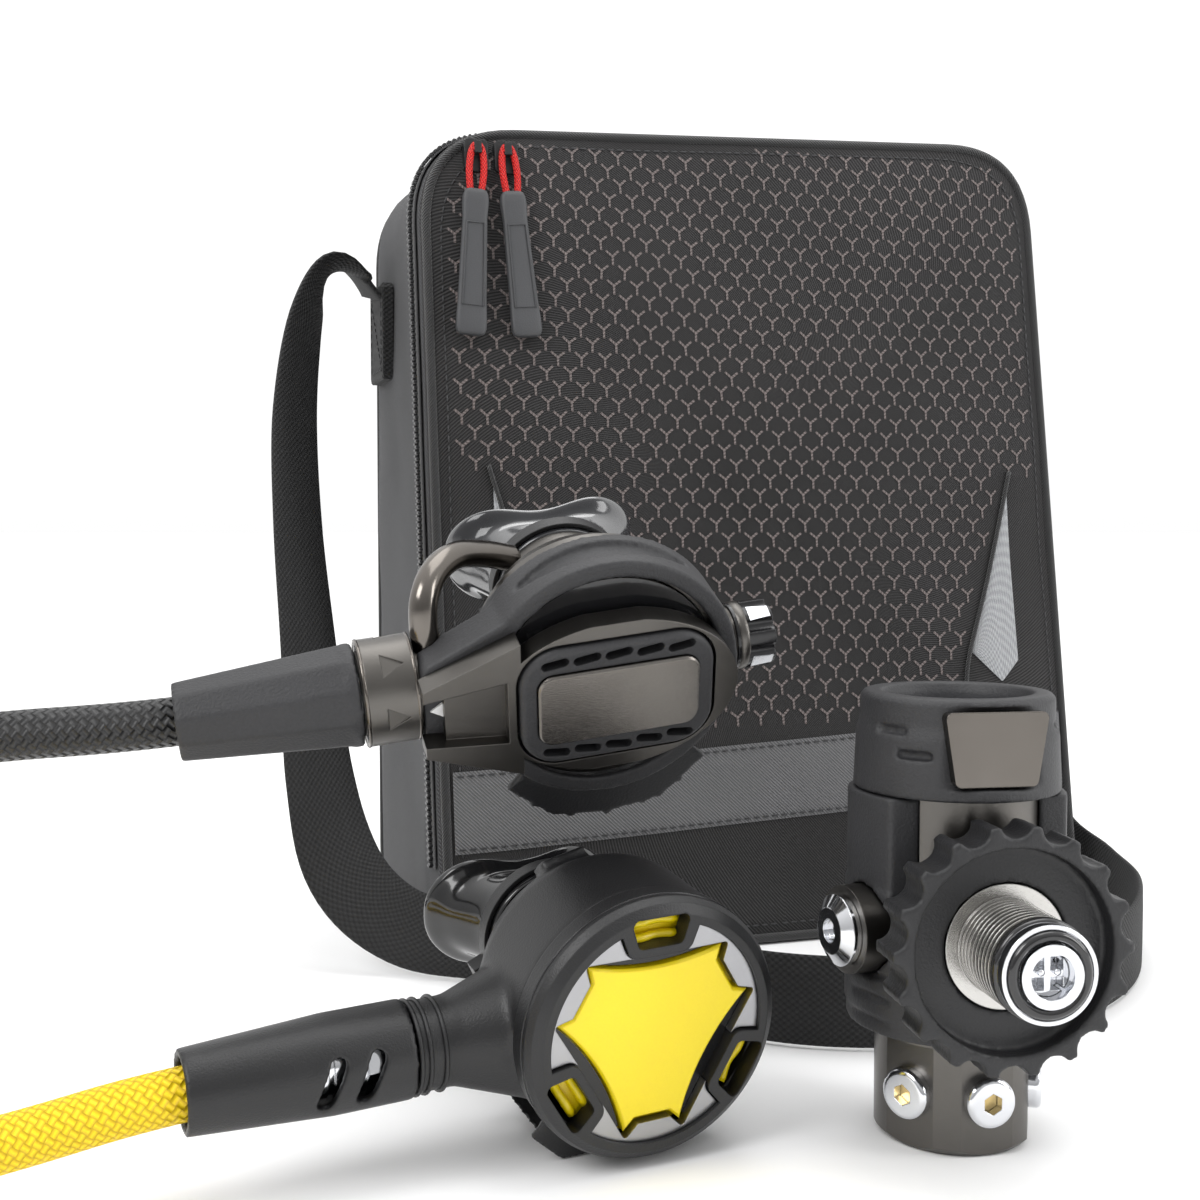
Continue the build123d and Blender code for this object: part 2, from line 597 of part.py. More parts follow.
def hose(name, start):
    """A hose's tube down to its coil, the coil's room, the short tail and the end fitting."""
    touch, _ = joining(name, JOIN_ANGLE[name])
    down = ROUTE[name] + [(*touch, HOSE_FLOOR_Z + COIL_LAYER)]
    leave, away = joining(name, TAIL_ANGLE[name])
    tail = Pos(leave[0] - SET_X, leave[1] - SET_Y, HOSE_FLOOR_Z) * Rot(0, 0, degrees(atan2(away[1], away[0])))
    coil = coil_ring(name)
    route = start + [Vector(x - SET_X, y - SET_Y, z) for x, y, z in down]
    pieces = (hose_tube(name, route), tail * rod(0, TAIL[name], HOSE_D / 2))
    outside = [(piece - coil).solids().sort_by(SortBy.VOLUME)[-1] for piece in pieces]
    save(f"{name}_hose", Plane.XY, *outside)
    save(f"{name}_hose_coil", Plane.XY, coil)
    save(f"{name}_hose_end", Plane.XY, tail * Pos(TAIL[name], 0, END_LIFT) * hose_end())


def hoses():
    hose("primary", sleeve_run(PRIMARY, PRIMARY_AXIS, P_HOSE_FACE, P_SLEEVE_END))
    hose("octopus", sleeve_run(OCTOPUS, OCTOPUS_AXIS, O_HOSE_FACE, O_SLEEVE_END))


# ---- bag


def bag_block(inset, front, back):
    half = BAG_W / 2 - inset
    low, high = inset, BAG_H - inset
    rim = Polyline((-half, low), (half, low), (half, high), (-half, high - 14), close=True)
    face = Plane.XZ * make_face(rim)
    block = Pos(0, back, 0) * extrude(face, back + 20)
    lean = Polyline((front, -1), (back, -1), (back, BAG_H + 1), (front + LID_LEAN, BAG_H + 1), close=True)
    wedge = extrude(Plane.YZ * make_face(lean), BAG_W, both=True)
    block = fillet(block.edges().filter_by(Axis.Y).sort_by(Axis.Z)[:2], 14)
    block = fillet(block.edges().filter_by(Axis.Y).sort_by(Axis.Z)[-2:], 30)
    return block & wedge


def strap_section(x, y, z, along, across):
    plane = Plane(origin=(x - SET_X, y - SET_Y, z), x_dir=across, z_dir=along)
    return plane * Rectangle(STRAP_W, STRAP_T)


STRAP_LINE = [
    ((-91.5, 611, 243), (-0.3, 0.95, 0)), ((-99, 604, 252), (-0.2, 0.95, 0.1)),
    ((-107, 590, 248), (0.1, 0.9, 0.3)), ((-112, 574, 225), (0.2, 0.85, 0.45)),
    ((-113, 559, 190), (0.3, 0.9, 0.35)), ((-109, 543, 150), (0.35, 0.9, 0.3)),
    ((-102, 526, 105), (0.45, 0.85, 0.3)), ((-96, 511, 65), (0.5, 0.7, 0.5)),
    ((-86, 502, 34), (0.35, 0.35, 0.85)), ((-66, 496, 17), (0.05, 0.1, 1)),
    ((-38, 489, 13.8), (0, 0, 1)), ((-8, 476, 13.8), (0, 0, 1)), ((20, 453, 13.8), (0, 0, 1)),
    ((47, 432, 13.8), (0, 0, 1)), ((76, 425, 13.8), (0, 0, 1)), ((108, 429, 13.8), (0, 0, 1)),
    ((142, 447, 13.8), (0, 0, 1)), ((172, 481, 13.8), (0, 0, 1)), ((191, 527, 13.8), (0, 0, 1)),
    ((197, 575, 13.8), (0, 0, 1)), ((188, 622, 24), (0.2, 0.15, 1)), ((176, 660, 70), (0.3, 0.9, 0.35)),
    ((166, 684, 140), (0, 0.95, 0.1)), ((161, 690, 205), (-0.3, 0.95, 0)),
    ((157, 684, 246), (-0.3, 0.95, 0)),
]


def strap():
    """One length of webbing: down the bag's left, on edge along the floor, and up its right."""
    centres = [Vector(*p) for p, _ in STRAP_LINE]
    sections = []
    for k, (point, across) in enumerate(STRAP_LINE):
        before = centres[max(k - 1, 0)]
        after = centres[min(k + 1, len(centres) - 1)]
        along = (after - before).normalized()
        wide = Vector(*across)
        wide = (wide - along * wide.dot(along)).normalized()
        sections.append(strap_section(*point, along, wide))
    return loft(sections[::-1], ruled=True)


PULL_X = [-105.0, -94.0]
PULL_SPREAD = [4.0, -4.0]
SLIDER_Z = 282.0
LEAN_ANGLE = degrees(atan2(LID_LEAN, BAG_H))
PULL_PIN = (-6.4, 2.0)


def zip_frame(x):
    """On the lid's face, with +x across, -y out of the face and +z up it."""
    return Pos(x, LID_LEAN * SLIDER_Z / BAG_H, SLIDER_Z) * Rot(-LEAN_ANGLE, 0, 0)


def bag():
    place = BAG
    shell = bag_block(0, LID_THICK + 0.5, BAG_DEEP_LOW)
    hollow = bag_block(BAG_WALL, -10, BAG_DEEP_LOW - BAG_WALL)
    save("bag_shell", place, shell - hollow)
    lean = Polyline((0, -1), (LID_THICK, -1), (LID_THICK + LID_LEAN, BAG_H + 1), (LID_LEAN, BAG_H + 1), close=True)
    slab_cut = extrude(Plane.YZ * make_face(lean), BAG_W, both=True)
    lid = bag_block(0, -40, BAG_DEEP_LOW) & slab_cut
    save("bag_lid", place, lid)
    save("shoulder_strap", Plane.XY, strap())
    y, z = PULL_PIN
    for side, x, spread in zip(("left", "right"), PULL_X, PULL_SPREAD):
        at = zip_frame(x)
        lug = Pos(0, y, z) * (Box(2.6, 3.2, 4.4) - Rot(0, 90, 0) * Cylinder(1.0, 4))
        slider = Pos(0, -2.9, 0) * Box(8.6, 4.0, 12)
        save(f"zip_slider_{side}", place, at * (fillet(slider.edges().filter_by(Axis.Y), 2) + lug))
        pin = Pos(0, y, z) * Rot(0, 90, 0) * Cylinder(0.8, 6)
        for cheek in (-1, 1):
            pin += Pos(cheek * 2.4, y, z - 8.2) * Box(1.4, 2.2, 18)
        tab = Pos(0, y, z - 42) * Box(9.2, 3.4, 52)
        tab = fillet(tab.edges().filter_by(Axis.Y), 2.4)
        pull = pin + tab
        swing = Pos(0, y, z) * Rot(0, spread, 0) * Pos(0, -y, -z)
        save(f"zip_pull_{side}", place, at * swing * pull)


os.makedirs(OUT, exist_ok=True)
first_stage()
primary_stage()
octopus_stage()
hoses()
bag()
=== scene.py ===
"""Looks of the scuba regulator set: materials, soft goods, hoses, camera and light."""
from math import atan2, cos, hypot, pi, radians, sin

import bpy
from mathutils import Matrix, Vector, noise


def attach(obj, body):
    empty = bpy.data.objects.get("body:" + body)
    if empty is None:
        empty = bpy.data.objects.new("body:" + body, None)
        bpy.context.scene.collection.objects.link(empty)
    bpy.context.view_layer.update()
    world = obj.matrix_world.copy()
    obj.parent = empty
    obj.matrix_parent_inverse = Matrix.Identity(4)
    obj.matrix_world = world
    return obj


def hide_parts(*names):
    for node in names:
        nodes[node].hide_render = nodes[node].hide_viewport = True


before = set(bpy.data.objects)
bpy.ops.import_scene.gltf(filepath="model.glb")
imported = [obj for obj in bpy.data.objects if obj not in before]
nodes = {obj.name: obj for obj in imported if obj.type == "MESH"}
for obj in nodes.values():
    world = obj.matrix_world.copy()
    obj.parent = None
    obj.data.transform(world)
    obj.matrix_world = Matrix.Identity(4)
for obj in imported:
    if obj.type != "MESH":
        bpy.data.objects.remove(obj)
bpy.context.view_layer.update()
MM = 0.001

# ---- frames of the items, in millimetres on the set's floor grid
SET = Vector((39.23, 510.29, 0))


def place(origin, right, out):
    z_dir = Vector(out).normalized()
    y_dir = z_dir.cross(Vector(right)).normalized()
    at = Matrix((y_dir.cross(z_dir), y_dir, z_dir)).transposed().to_4x4()
    at.translation = Vector(origin) - SET
    return at


def upright(origin, turn):
    return place(origin, (cos(radians(turn)), sin(radians(turn)), 0), (0, 0, 1))


PRIMARY = place((5, 366, 107.5), (0.96, 0.25, 0.135), (0.275, -0.85, -0.454))
OCTOPUS = place((12, 345, 33.6), (0.89, 0.42, 0.045), (0.425, -0.893, -0.14))
STAGE = upright((88.4, 370, 0), 9)
BAG = upright((67.2, 537.6, 0), 17.5)
FLOOR = Matrix.Translation(-SET)
PRIMARY_AXIS = (0, -21)
OCTOPUS_AXIS = (-4.5, -21)
DIN = STAGE @ Matrix.Translation((0, 0, 54)) @ Matrix.Rotation(radians(-90), 4, "Z")


# ---- material helpers


def link(tree, socket, value):
    if isinstance(value, bpy.types.NodeSocket):
        tree.links.new(value, socket)
    elif value is not None:
        socket.default_value = value


def add(tree, kind, **values):
    made = tree.nodes.new("ShaderNode" + kind)
    for key, value in values.items():
        setattr(made, key, value)
    return made


def calc(tree, operation, a, b=None, c=None):
    made = add(tree, "Math", operation=operation)
    for socket, value in zip(made.inputs, (a, b, c)):
        link(tree, socket, value)
    return made.outputs[0]


def blur(tree, scale, detail=3.0, vector=None, rough=0.55):
    made = add(tree, "TexNoise")
    made.inputs["Scale"].default_value = scale
    made.inputs["Detail"].default_value = detail
    made.inputs["Roughness"].default_value = rough
    where = vector or add(tree, "TexCoord").outputs["Object"]
    tree.links.new(where, made.inputs["Vector"])
    return made.outputs["Fac"]


def stretched(tree, scale):
    made = add(tree, "Mapping")
    made.inputs["Scale"].default_value = scale
    tree.links.new(add(tree, "TexCoord").outputs["Object"], made.inputs["Vector"])
    return made.outputs["Vector"]


def spread(tree, value, low, high):
    made = add(tree, "MapRange")
    link(tree, made.inputs["Value"], value)
    made.inputs["To Min"].default_value = low
    made.inputs["To Max"].default_value = high
    return made.outputs[0]


def mix(tree, fac, a, b):
    made = add(tree, "Mix", data_type="RGBA")
    link(tree, made.inputs["Factor"], fac)
    for name, value in (("A", a), ("B", b)):
        socket = [s for s in made.inputs if s.name == name and s.type == "RGBA"][0]
        link(tree, socket, (*value, 1) if isinstance(value, tuple) else value)
    return [s for s in made.outputs if s.type == "RGBA"][0]


def bump(tree, height, distance, strength=1.0, rounding=0.0):
    made = add(tree, "Bump")
    made.inputs["Strength"].default_value = strength
    made.inputs["Distance"].default_value = distance
    link(tree, made.inputs["Height"], height)
    if rounding:
        soft = add(tree, "Bevel", samples=4)
        soft.inputs["Radius"].default_value = rounding
        tree.links.new(soft.outputs[0], made.inputs["Normal"])
    return made.outputs[0]


def shader_of(name):
    material = bpy.data.materials.new(name)
    material.use_nodes = True
    return material, material.node_tree, material.node_tree.nodes["Principled BSDF"]


def finish_with(tree, shader, color=None, rough=None, normal=None, **sockets):
    link(tree, shader.inputs["Base Color"], (*color, 1) if isinstance(color, tuple) else color)
    link(tree, shader.inputs["Roughness"], rough)
    link(tree, shader.inputs["Normal"], normal)
    for name, value in sockets.items():
        shader.inputs[name.replace("_", " ")].default_value = value


def moulded(name, dark, light, rough, grain=2200.0, depth=0.00006, rounding=0.0006, **sockets):
    """Plastic or rubber with a fine grain, a cloudy gloss and slightly rounded edges."""
    material, tree, shader = shader_of(name)
    cloud = blur(tree, 60, 4)
    fine = blur(tree, grain, 2)
    tone = calc(tree, "ADD", calc(tree, "MULTIPLY", cloud, 0.45), calc(tree, "MULTIPLY", fine, 0.55))
    finish_with(tree, shader, mix(tree, tone, dark, light), spread(tree, cloud, rough - 0.07, rough + 0.07),
                bump(tree, fine, depth, 1.0, rounding), **sockets)
    return material


def metal(name, dark, light, rough, brushed=0.0, rounding=0.0004):
    """Metal with faint smears, and brush lines where it is brushed."""
    material, tree, shader = shader_of(name)
    cloud = blur(tree, 45, 5)
    lines = blur(tree, 700, 3, stretched(tree, (1, 1, 14)) if brushed else None)
    finish_with(tree, shader, mix(tree, cloud, dark, light), spread(tree, cloud, rough - 0.04, rough + 0.06),
                bump(tree, lines, 0.00002 + 0.00006 * brushed, 0.5, rounding), Metallic=1.0)
    return material


def woven(name, dark, light, pitch, twill=True, sheen=0.25, rough=0.85):
    """Cloth whose weave follows the piece's own lengths: u and v are metres along and across it."""
    material, tree, shader = shader_of(name)
    uv = add(tree, "SeparateXYZ")
    tree.links.new(add(tree, "TexCoord").outputs["UV"], uv.inputs[0])
    u, v = uv.outputs[0], uv.outputs[1]
    turn = 2 * pi / pitch
    if twill:
        across = calc(tree, "SINE", calc(tree, "MULTIPLY", calc(tree, "ADD", u, v), turn))
        along = calc(tree, "SINE", calc(tree, "MULTIPLY", calc(tree, "SUBTRACT", u, v), turn * 0.35))
    else:
        across = calc(tree, "SINE", calc(tree, "MULTIPLY", u, turn))
        along = calc(tree, "SINE", calc(tree, "MULTIPLY", v, turn * 0.8))
    weave = calc(tree, "MULTIPLY_ADD", calc(tree, "MULTIPLY", across, along if not twill else 1.0), 0.5, 0.5)
    thread = blur(tree, 2600, 2)
    cloud = blur(tree, 22, 4)
    height = calc(tree, "ADD", weave, calc(tree, "MULTIPLY", thread, 0.6))
    # painted shade: the colour follows the weave's height, so the cloth is darker in the valleys between threads where
    # shade would fall; the cloud and thread noise add the cloth's own random tone
    tone = calc(tree, "MULTIPLY", calc(tree, "MULTIPLY", weave, spread(tree, cloud, 0.55, 1.3)),
                spread(tree, thread, 0.4, 1.5))
    finish_with(tree, shader, mix(tree, tone, dark, light), rough, bump(tree, height, pitch * 0.22),
                Sheen_Weight=sheen, Sheen_Roughness=0.5)
    return material


def braided(name, dark, light, carriers, lay, rough, **sockets):
    """A round braid: u is turns round the hose and v metres along it. Its colour follows the strand height: painted
    shade between the strands and a painted highlight on their crowns.
    """
    material, tree, shader = shader_of(name)
    uv = add(tree, "SeparateXYZ")
    tree.links.new(add(tree, "TexCoord").outputs["UV"], uv.inputs[0])
    round_ = calc(tree, "MULTIPLY", uv.outputs[0], carriers)
    along = calc(tree, "MULTIPLY", uv.outputs[1], carriers / lay)
    one = calc(tree, "ADD", round_, along)
    two = calc(tree, "SUBTRACT", round_, along)
    odd = calc(tree, "MODULO", calc(tree, "ADD", calc(tree, "FLOOR", one), calc(tree, "FLOOR", two)), 2.0)
    odd = calc(tree, "ABSOLUTE", odd)
    ridges = []
    for value in (one, two):
        part = calc(tree, "FRACT", value)
        ridges.append(calc(tree, "SINE", calc(tree, "MULTIPLY", part, pi)))
    height = calc(tree, "ADD", calc(tree, "MULTIPLY", ridges[0], odd),
                  calc(tree, "MULTIPLY", ridges[1], calc(tree, "SUBTRACT", 1.0, odd)))
    thread = blur(tree, 3000, 2)
    # painted shade and painted highlight: the colour follows the strand height, dark where the strands meet and light
    # on their crowns; the thread noise is the yarn's own random tone
    tone = calc(tree, "MULTIPLY", height, spread(tree, thread, 0.55, 1.3))
    finish_with(tree, shader, mix(tree, tone, dark, light), spread(tree, thread, rough - 0.1, rough + 0.1),
                bump(tree, calc(tree, "ADD", height, calc(tree, "MULTIPLY", thread, 0.15)), 0.0006), **sockets)
    return material


BLACK = moulded("black plastic", (0.004, 0.004, 0.0045), (0.011, 0.011, 0.012), 0.4, 2200, 0.0001)
CHARCOAL = moulded("charcoal rubber", (0.008, 0.008, 0.009), (0.034, 0.034, 0.037), 0.55, 1500, 0.00016)
WHEEL = moulded("scalloped rubber", (0.005, 0.0052, 0.006), (0.018, 0.018, 0.02), 0.46, 1500, 0.00014)
GLOSS_BLACK = moulded("polished black", (0.008, 0.008, 0.009), (0.014, 0.014, 0.015), 0.16, 400, 0.00001)
GUNMETAL = metal("gunmetal", (0.095, 0.09, 0.084), (0.15, 0.142, 0.132), 0.3, 0.6)
BRONZE = metal("dark bronze coating", (0.11, 0.1, 0.09), (0.17, 0.155, 0.14), 0.16)
PLATE = metal("brushed plate", (0.13, 0.12, 0.11), (0.22, 0.205, 0.19), 0.24, 1.0)
CHROME = metal("chrome", (0.62, 0.63, 0.66), (0.78, 0.79, 0.81), 0.08)
SILVER = metal("satin silver", (0.3, 0.3, 0.31), (0.44, 0.44, 0.455), 0.3, 0.3)
STEEL = metal("satin steel", (0.42, 0.41, 0.39), (0.6, 0.59, 0.57), 0.2, 0.4)
BRASS = metal("brass", (0.55, 0.4, 0.16), (0.72, 0.55, 0.26), 0.3)
YELLOW = moulded("yellow plastic", (0.82, 0.62, 0.0), (0.9, 0.72, 0.002), 0.33, 1800, 0.00003, Coat_Weight=0.25)
SILICONE = moulded("black silicone", (0.006, 0.006, 0.007), (0.015, 0.015, 0.016), 0.15, 160, 0.00008, 0.0,
                   Coat_Weight=0.4)
SMOKE = moulded("smoky silicone", (0.012, 0.0125, 0.014), (0.035, 0.036, 0.04), 0.14, 150, 0.0001, 0.0,
                Transmission_Weight=0.12, IOR=1.41, Coat_Weight=0.3)
# cloth colours: the dark end is partly painted shade in the weave's valleys, partly the cloth's own random tone
BAG_SIDE = woven("grey twill", (0.014, 0.014, 0.015), (0.1, 0.1, 0.106), 0.0014, sheen=0.05)
BAG_FRONT = woven("black twill", (0.001, 0.001, 0.001), (0.034, 0.032, 0.033), 0.0014, sheen=0.01)
LATTICE = woven("lattice print", (0.085, 0.07, 0.067), (0.19, 0.16, 0.155), 0.0012, sheen=0.02)
BAND = woven("grey band", (0.085, 0.085, 0.088), (0.16, 0.16, 0.165), 0.0013, sheen=0.05)
REFLECT = woven("reflective patch", (0.24, 0.245, 0.255), (0.42, 0.43, 0.445), 0.0022, False, 0.02, 0.5)
WEBBING = woven("ribbed webbing", (0.001, 0.001, 0.001), (0.02, 0.02, 0.021), 0.0019, False, 0.03, 0.8)
PIPING = woven("black piping", (0.005, 0.005, 0.005), (0.025, 0.025, 0.026), 0.0012)
ZIP_TAPE = woven("zip tape", (0.008, 0.008, 0.009), (0.04, 0.04, 0.043), 0.0009)
TEETH = moulded("zip teeth", (0.015, 0.015, 0.016), (0.04, 0.04, 0.042), 0.35)
PULL = moulded("soft grey rubber", (0.035, 0.036, 0.039), (0.06, 0.061, 0.065), 0.55)
# braid colours: the light end is a painted highlight on the strand crowns, the dark end painted shade between the
# strands, mixed with the yarn's own random tone
RED_CORD = braided("red cord", (0.35, 0.0, 0.0), (0.86, 0.016, 0.012), 8, 0.012, 0.55)
BLACK_BRAID = braided("black braid", (0.0008, 0.0008, 0.0008), (0.017, 0.017, 0.018), 14, 0.034, 0.36)
YELLOW_BRAID = braided("yellow braid", (0.68, 0.42, 0.0), (0.92, 0.66, 0.0), 14, 0.034, 0.55)
THREAD = moulded("thread", (0.01, 0.01, 0.011), (0.045, 0.045, 0.048), 0.6, 3000, 0.0001, 0.0)
WHITE = moulded("white mark", (0.7, 0.7, 0.7), (0.85, 0.85, 0.85), 0.5)

FINISHES = {
    GUNMETAL: "turret first_stage_body primary_case primary_neck_collar primary_selector_ring primary_bezel",
    BRONZE: "primary_bypass_tube badge_plate",
    PLATE: "primary_purge_plate",
    SILVER: "octopus_face_plate",
    CHROME: "lp_port_plugs pressure_port_plug primary_hose_fitting octopus_hose_fitting adjusting_screw "
            "primary_hose_end octopus_hose_end inlet_nozzle inlet_valve_core",
    STEEL: "din_thread_sleeve main_spring primary_lever octopus_lever primary_valve_barrel octopus_valve_barrel",
    BRASS: "seat_poppet primary_poppet octopus_poppet",
    CHARCOAL: "rubber_armor top_cap primary_bumper primary_hose_sleeve primary_purge_cover",
    WHEEL: "hand_wheel primary_exhaust_tee",
    GLOSS_BLACK: "primary_adjust_knob",
    BLACK: "octopus_case octopus_cover_ring octopus_exhaust_wing octopus_hose_sleeve primary_mouthpiece_tie "
           "octopus_mouthpiece_tie zip_slider_left zip_slider_right",
    YELLOW: "octopus_purge_star",
    SILICONE: "primary_diaphragm octopus_diaphragm main_diaphragm inlet_face_seal octopus_mouthpiece",
    SMOKE: "primary_mouthpiece",
    BAG_SIDE: "bag_shell",
    BAG_FRONT: "bag_lid",
    WEBBING: "shoulder_strap",
    PULL: "zip_pull_left zip_pull_right",
    BLACK_BRAID: "primary_hose primary_hose_coil",
    YELLOW_BRAID: "octopus_hose octopus_hose_coil",
}
for finish, names in FINISHES.items():
    for name in names.split():
        nodes[name].data.materials.clear()
        nodes[name].data.materials.append(finish)


# ---- mesh helpers


def piece(name, verts, faces, body, finish, corners=None, smooth=True):
    """A mesh in metres; corners holds one (u, v) for every corner of every face."""
    mesh = bpy.data.meshes.new(name)
    mesh.from_pydata([tuple(v) for v in verts], [], faces)
    if corners:
        layer = mesh.uv_layers.new(name="UVMap")
        flat = [c for face in corners for c in face]
        for k, c in enumerate(flat):
            layer.data[k].uv = c
    mesh.validate()
    for polygon in mesh.polygons:
        polygon.use_smooth = smooth
    mesh.materials.append(finish)
    made = bpy.data.objects.new(name, mesh)
    bpy.context.scene.collection.objects.link(made)
    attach(made, body)
    return made


def loft(name, rings, body, finish, us=None, vs=None, caps=True, at=None, closed=True, smooth=True):
    """A skin over rings of equal count. us and vs are lengths in metres round and along it."""
    at = at or Matrix.Identity(4)
    rings = [[(at @ Vector(p)) * MM for p in ring] for ring in rings]
    count = len(rings[0])
    if us is None:
        us = [0.0]
        for k in range(count):
            us.append(us[-1] + (rings[0][(k + 1) % count] - rings[0][k]).length)
    if vs is None:
        vs = [0.0]
        for a, b in zip(rings, rings[1:]):
            vs.append(vs[-1] + max((a[0] - b[0]).length, (a[count // 2] - b[count // 2]).length))
    verts = [p for ring in rings for p in ring]
    faces = []
    corners = []
    for i in range(len(rings) - 1):
        for j in range(count if closed else count - 1):
            k = (j + 1) % count
            faces.append((i * count + j, i * count + k, (i + 1) * count + k, (i + 1) * count + j))
            corners.append(((us[j], vs[i]), (us[j + 1], vs[i]), (us[j + 1], vs[i + 1]), (us[j], vs[i + 1])))
    if caps and closed:
        for i, order in ((0, -1), (len(rings) - 1, 1)):
            middle = sum((rings[i][j] for j in range(count)), Vector()) / count
            verts.append(middle)
            for j in range(count):
                k = (j + 1) % count
                a, b = (j, k) if order > 0 else (k, j)
                faces.append((i * count + a, i * count + b, len(verts) - 1))
                corners.append(((us[j], vs[i]), (us[j + 1], vs[i]), (us[j], vs[i] + 0.004)))
    return piece(name, verts, faces, body, finish, corners, smooth)


def carried(points, up=(0, 0, 1)):
    """A turn-free frame at each point of a line: (point, side, up)."""
    frames = []
    normal = Vector(up)
    for k, point in enumerate(points):
        along = points[min(k + 1, len(points) - 1)] - points[max(k - 1, 0)]
        along.normalize()
        side = along.cross(normal)
        if side.length < 1e-6:
            side = along.cross(Vector((0.3, 0.9, 0.1)))
        side.normalize()
        normal = side.cross(along)
        frames.append((point, side, normal))
    return frames


def tube(name, points, radius, body, finish, sides=20, turns=False, at=None, up=(0, 0, 1), caps=True):
    """A round tube in millimetres along points; radius is a number or one for each point."""
    points = [Vector(p) for p in points]
    radii = radius if isinstance(radius, list) else [radius] * len(points)
    rings = []
    for (point, side, normal), r in zip(carried(points, up), radii):
        rings.append([point + (side * cos(2 * pi * j / sides) + normal * sin(2 * pi * j / sides)) * r
                      for j in range(sides)])
    us = [j / sides for j in range(sides + 1)] if turns else None
    vs = [0.0]
    for a, b in zip(points, points[1:]):
        vs.append(vs[-1] + (b - a).length * MM)
    return loft(name, rings, body, finish, us, vs, caps, at)


def smooth_line(points, steps):
    """A line through the points, rounded between them."""
    points = [Vector(p) for p in points]
    line = []
    for k in range(len(points) - 1):
        a, b, c, d = points[max(k - 1, 0)], points[k], points[k + 1], points[min(k + 2, len(points) - 1)]
        for s in range(steps):
            t = s / steps
            line.append(0.5 * (2 * b + (c - a) * t + (2 * a - 5 * b + 4 * c - d) * t * t
                               + (3 * b - a - 3 * c + d) * t ** 3))
    return line + [points[-1]]


def softened(node, body, finish, voxel, rounds, name):
    """A moulded copy of a CAD node, with its corners run together as rubber and plastic come out of a mould."""
    made = bpy.data.objects.new(name, nodes[node].data.copy())
    bpy.context.scene.collection.objects.link(made)
    remesh = made.modifiers.new("remesh", "REMESH")
    remesh.mode = "VOXEL"
    remesh.voxel_size = voxel
    ease = made.modifiers.new("ease", "SMOOTH")
    ease.iterations = rounds
    bpy.context.view_layer.update()
    result = bpy.data.meshes.new_from_object(made.evaluated_get(bpy.context.evaluated_depsgraph_get()))
    made.modifiers.clear()
    made.data = result
    for polygon in result.polygons:
        polygon.use_smooth = True
    result.materials.clear()
    result.materials.append(finish)
    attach(made, body)
    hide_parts(node)
    return made


softened("octopus_case", "octopus_stage", BLACK, 0.0008, 12, "octopus_case_moulded")
softened("octopus_hose_sleeve", "octopus_hose_set", BLACK, 0.0006, 4, "octopus_sleeve_moulded")
softened("primary_bumper", "primary_stage", CHARCOAL, 0.0007, 5, "primary_bumper_moulded")
softened("primary_hose_sleeve", "primary_hose_set", CHARCOAL, 0.0007, 3, "primary_sleeve_moulded")
softened("hand_wheel", "din_wheel", WHEEL, 0.0006, 2, "hand_wheel_moulded")
softened("rubber_armor", "first_stage", CHARCOAL, 0.0007, 2, "rubber_armor_moulded")
softened("top_cap", "first_stage", CHARCOAL, 0.0006, 3, "top_cap_moulded")
softened("octopus_exhaust_wing", "octopus_stage", BLACK, 0.0007, 2, "octopus_wing_moulded")
softened("primary_exhaust_tee", "primary_stage", WHEEL, 0.0007, 2, "primary_tee_moulded")


# ---- hoses: each follows one smooth spline, the tube's own route


def local(at, x, axis):
    return at @ Vector((x, *axis))


HOSE_RADIUS = 6.0
ON_FLOOR = 6.3
SECOND_LAYER = 18.5
COIL_DROP = 80


def coil(centre, radius, start, end, top, low, hold, drop):
    """A clockwise coil from one layer down onto the floor; angles are in degrees."""
    count = max(1, round((start - end) / 22.5))
    step = (start - end) / count
    points = []
    for k in range(count):
        angle = start - (k + 0.5) * step
        gone = min(1, max(0, (start - angle - hold) / drop))
        height = top + (low - top) * (3 - 2 * gone) * gone * gone
        points.append((centre[0] + radius * 1.02 * cos(radians(angle)),
                       centre[1] + radius * 1.02 * sin(radians(angle)), height))
    return points


def spline_points(name, points):
    """The points of the smooth curve that a route's points control, in metres."""
    curve = bpy.data.curves.new(name, "CURVE")
    curve.dimensions = "3D"
    curve.resolution_u = 10
    spline = curve.splines.new("NURBS")
    spline.points.add(len(points) - 1)
    for point, co in zip(spline.points, points):
        point.co = (*co, 1)
    spline.order_u = 3
    spline.use_endpoint_u = True
    holder = bpy.data.objects.new(name, curve)
    bpy.context.scene.collection.objects.link(holder)
    bpy.context.view_layer.update()
    mesh = bpy.data.meshes.new_from_object(holder)
    line = [v.co.copy() for v in mesh.vertices]
    bpy.data.objects.remove(holder)
    return line


def hose(name, at, axis, face, sleeve_end, route, coil_at, radius, join, leave, hold, tail, finish):
    start = [local(at, face, axis), local(at, sleeve_end - 5, axis)]
    floor_part = route + coil(coil_at, radius, join, leave, SECOND_LAYER, ON_FLOOR, hold, COIL_DROP)
    c, s = cos(radians(leave)), sin(radians(leave))
    touch = Vector((coil_at[0] + radius * c, coil_at[1] + radius * s, ON_FLOOR))
    away = Vector((s, -c, 0))
    floor_part += [tuple(touch + away * 24), tuple(touch + away * (tail + 1))]
    points = [tuple(p * MM) for p in start + [FLOOR @ Vector(p) for p in floor_part]]
    line = spline_points(name + "_route", points)
    made = tube(name + "_tube", [p / MM for p in line], HOSE_RADIUS, name + "_set", finish, 32, True)
    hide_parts(name, name + "_coil")
    return made


hose("primary_hose", PRIMARY, PRIMARY_AXIS, -90, -105,
     [(-152, 350, 100.5), (-196, 349.5, 92), (-238, 355, 72.5), (-277, 369, 47.5), (-313, 395, 27)],
     (-318, 492), 60, 240, -170, 62, 54, BLACK_BRAID)
hose("octopus_hose", OCTOPUS, OCTOPUS_AXIS, -84, -104,
     [(-124, 307, 21.5), (-152, 293, 18.8), (-187, 270, 18.5)],
     (-238, 318), 72, 282, -120, 54, 110, YELLOW_BRAID)


# ---- mouthpieces


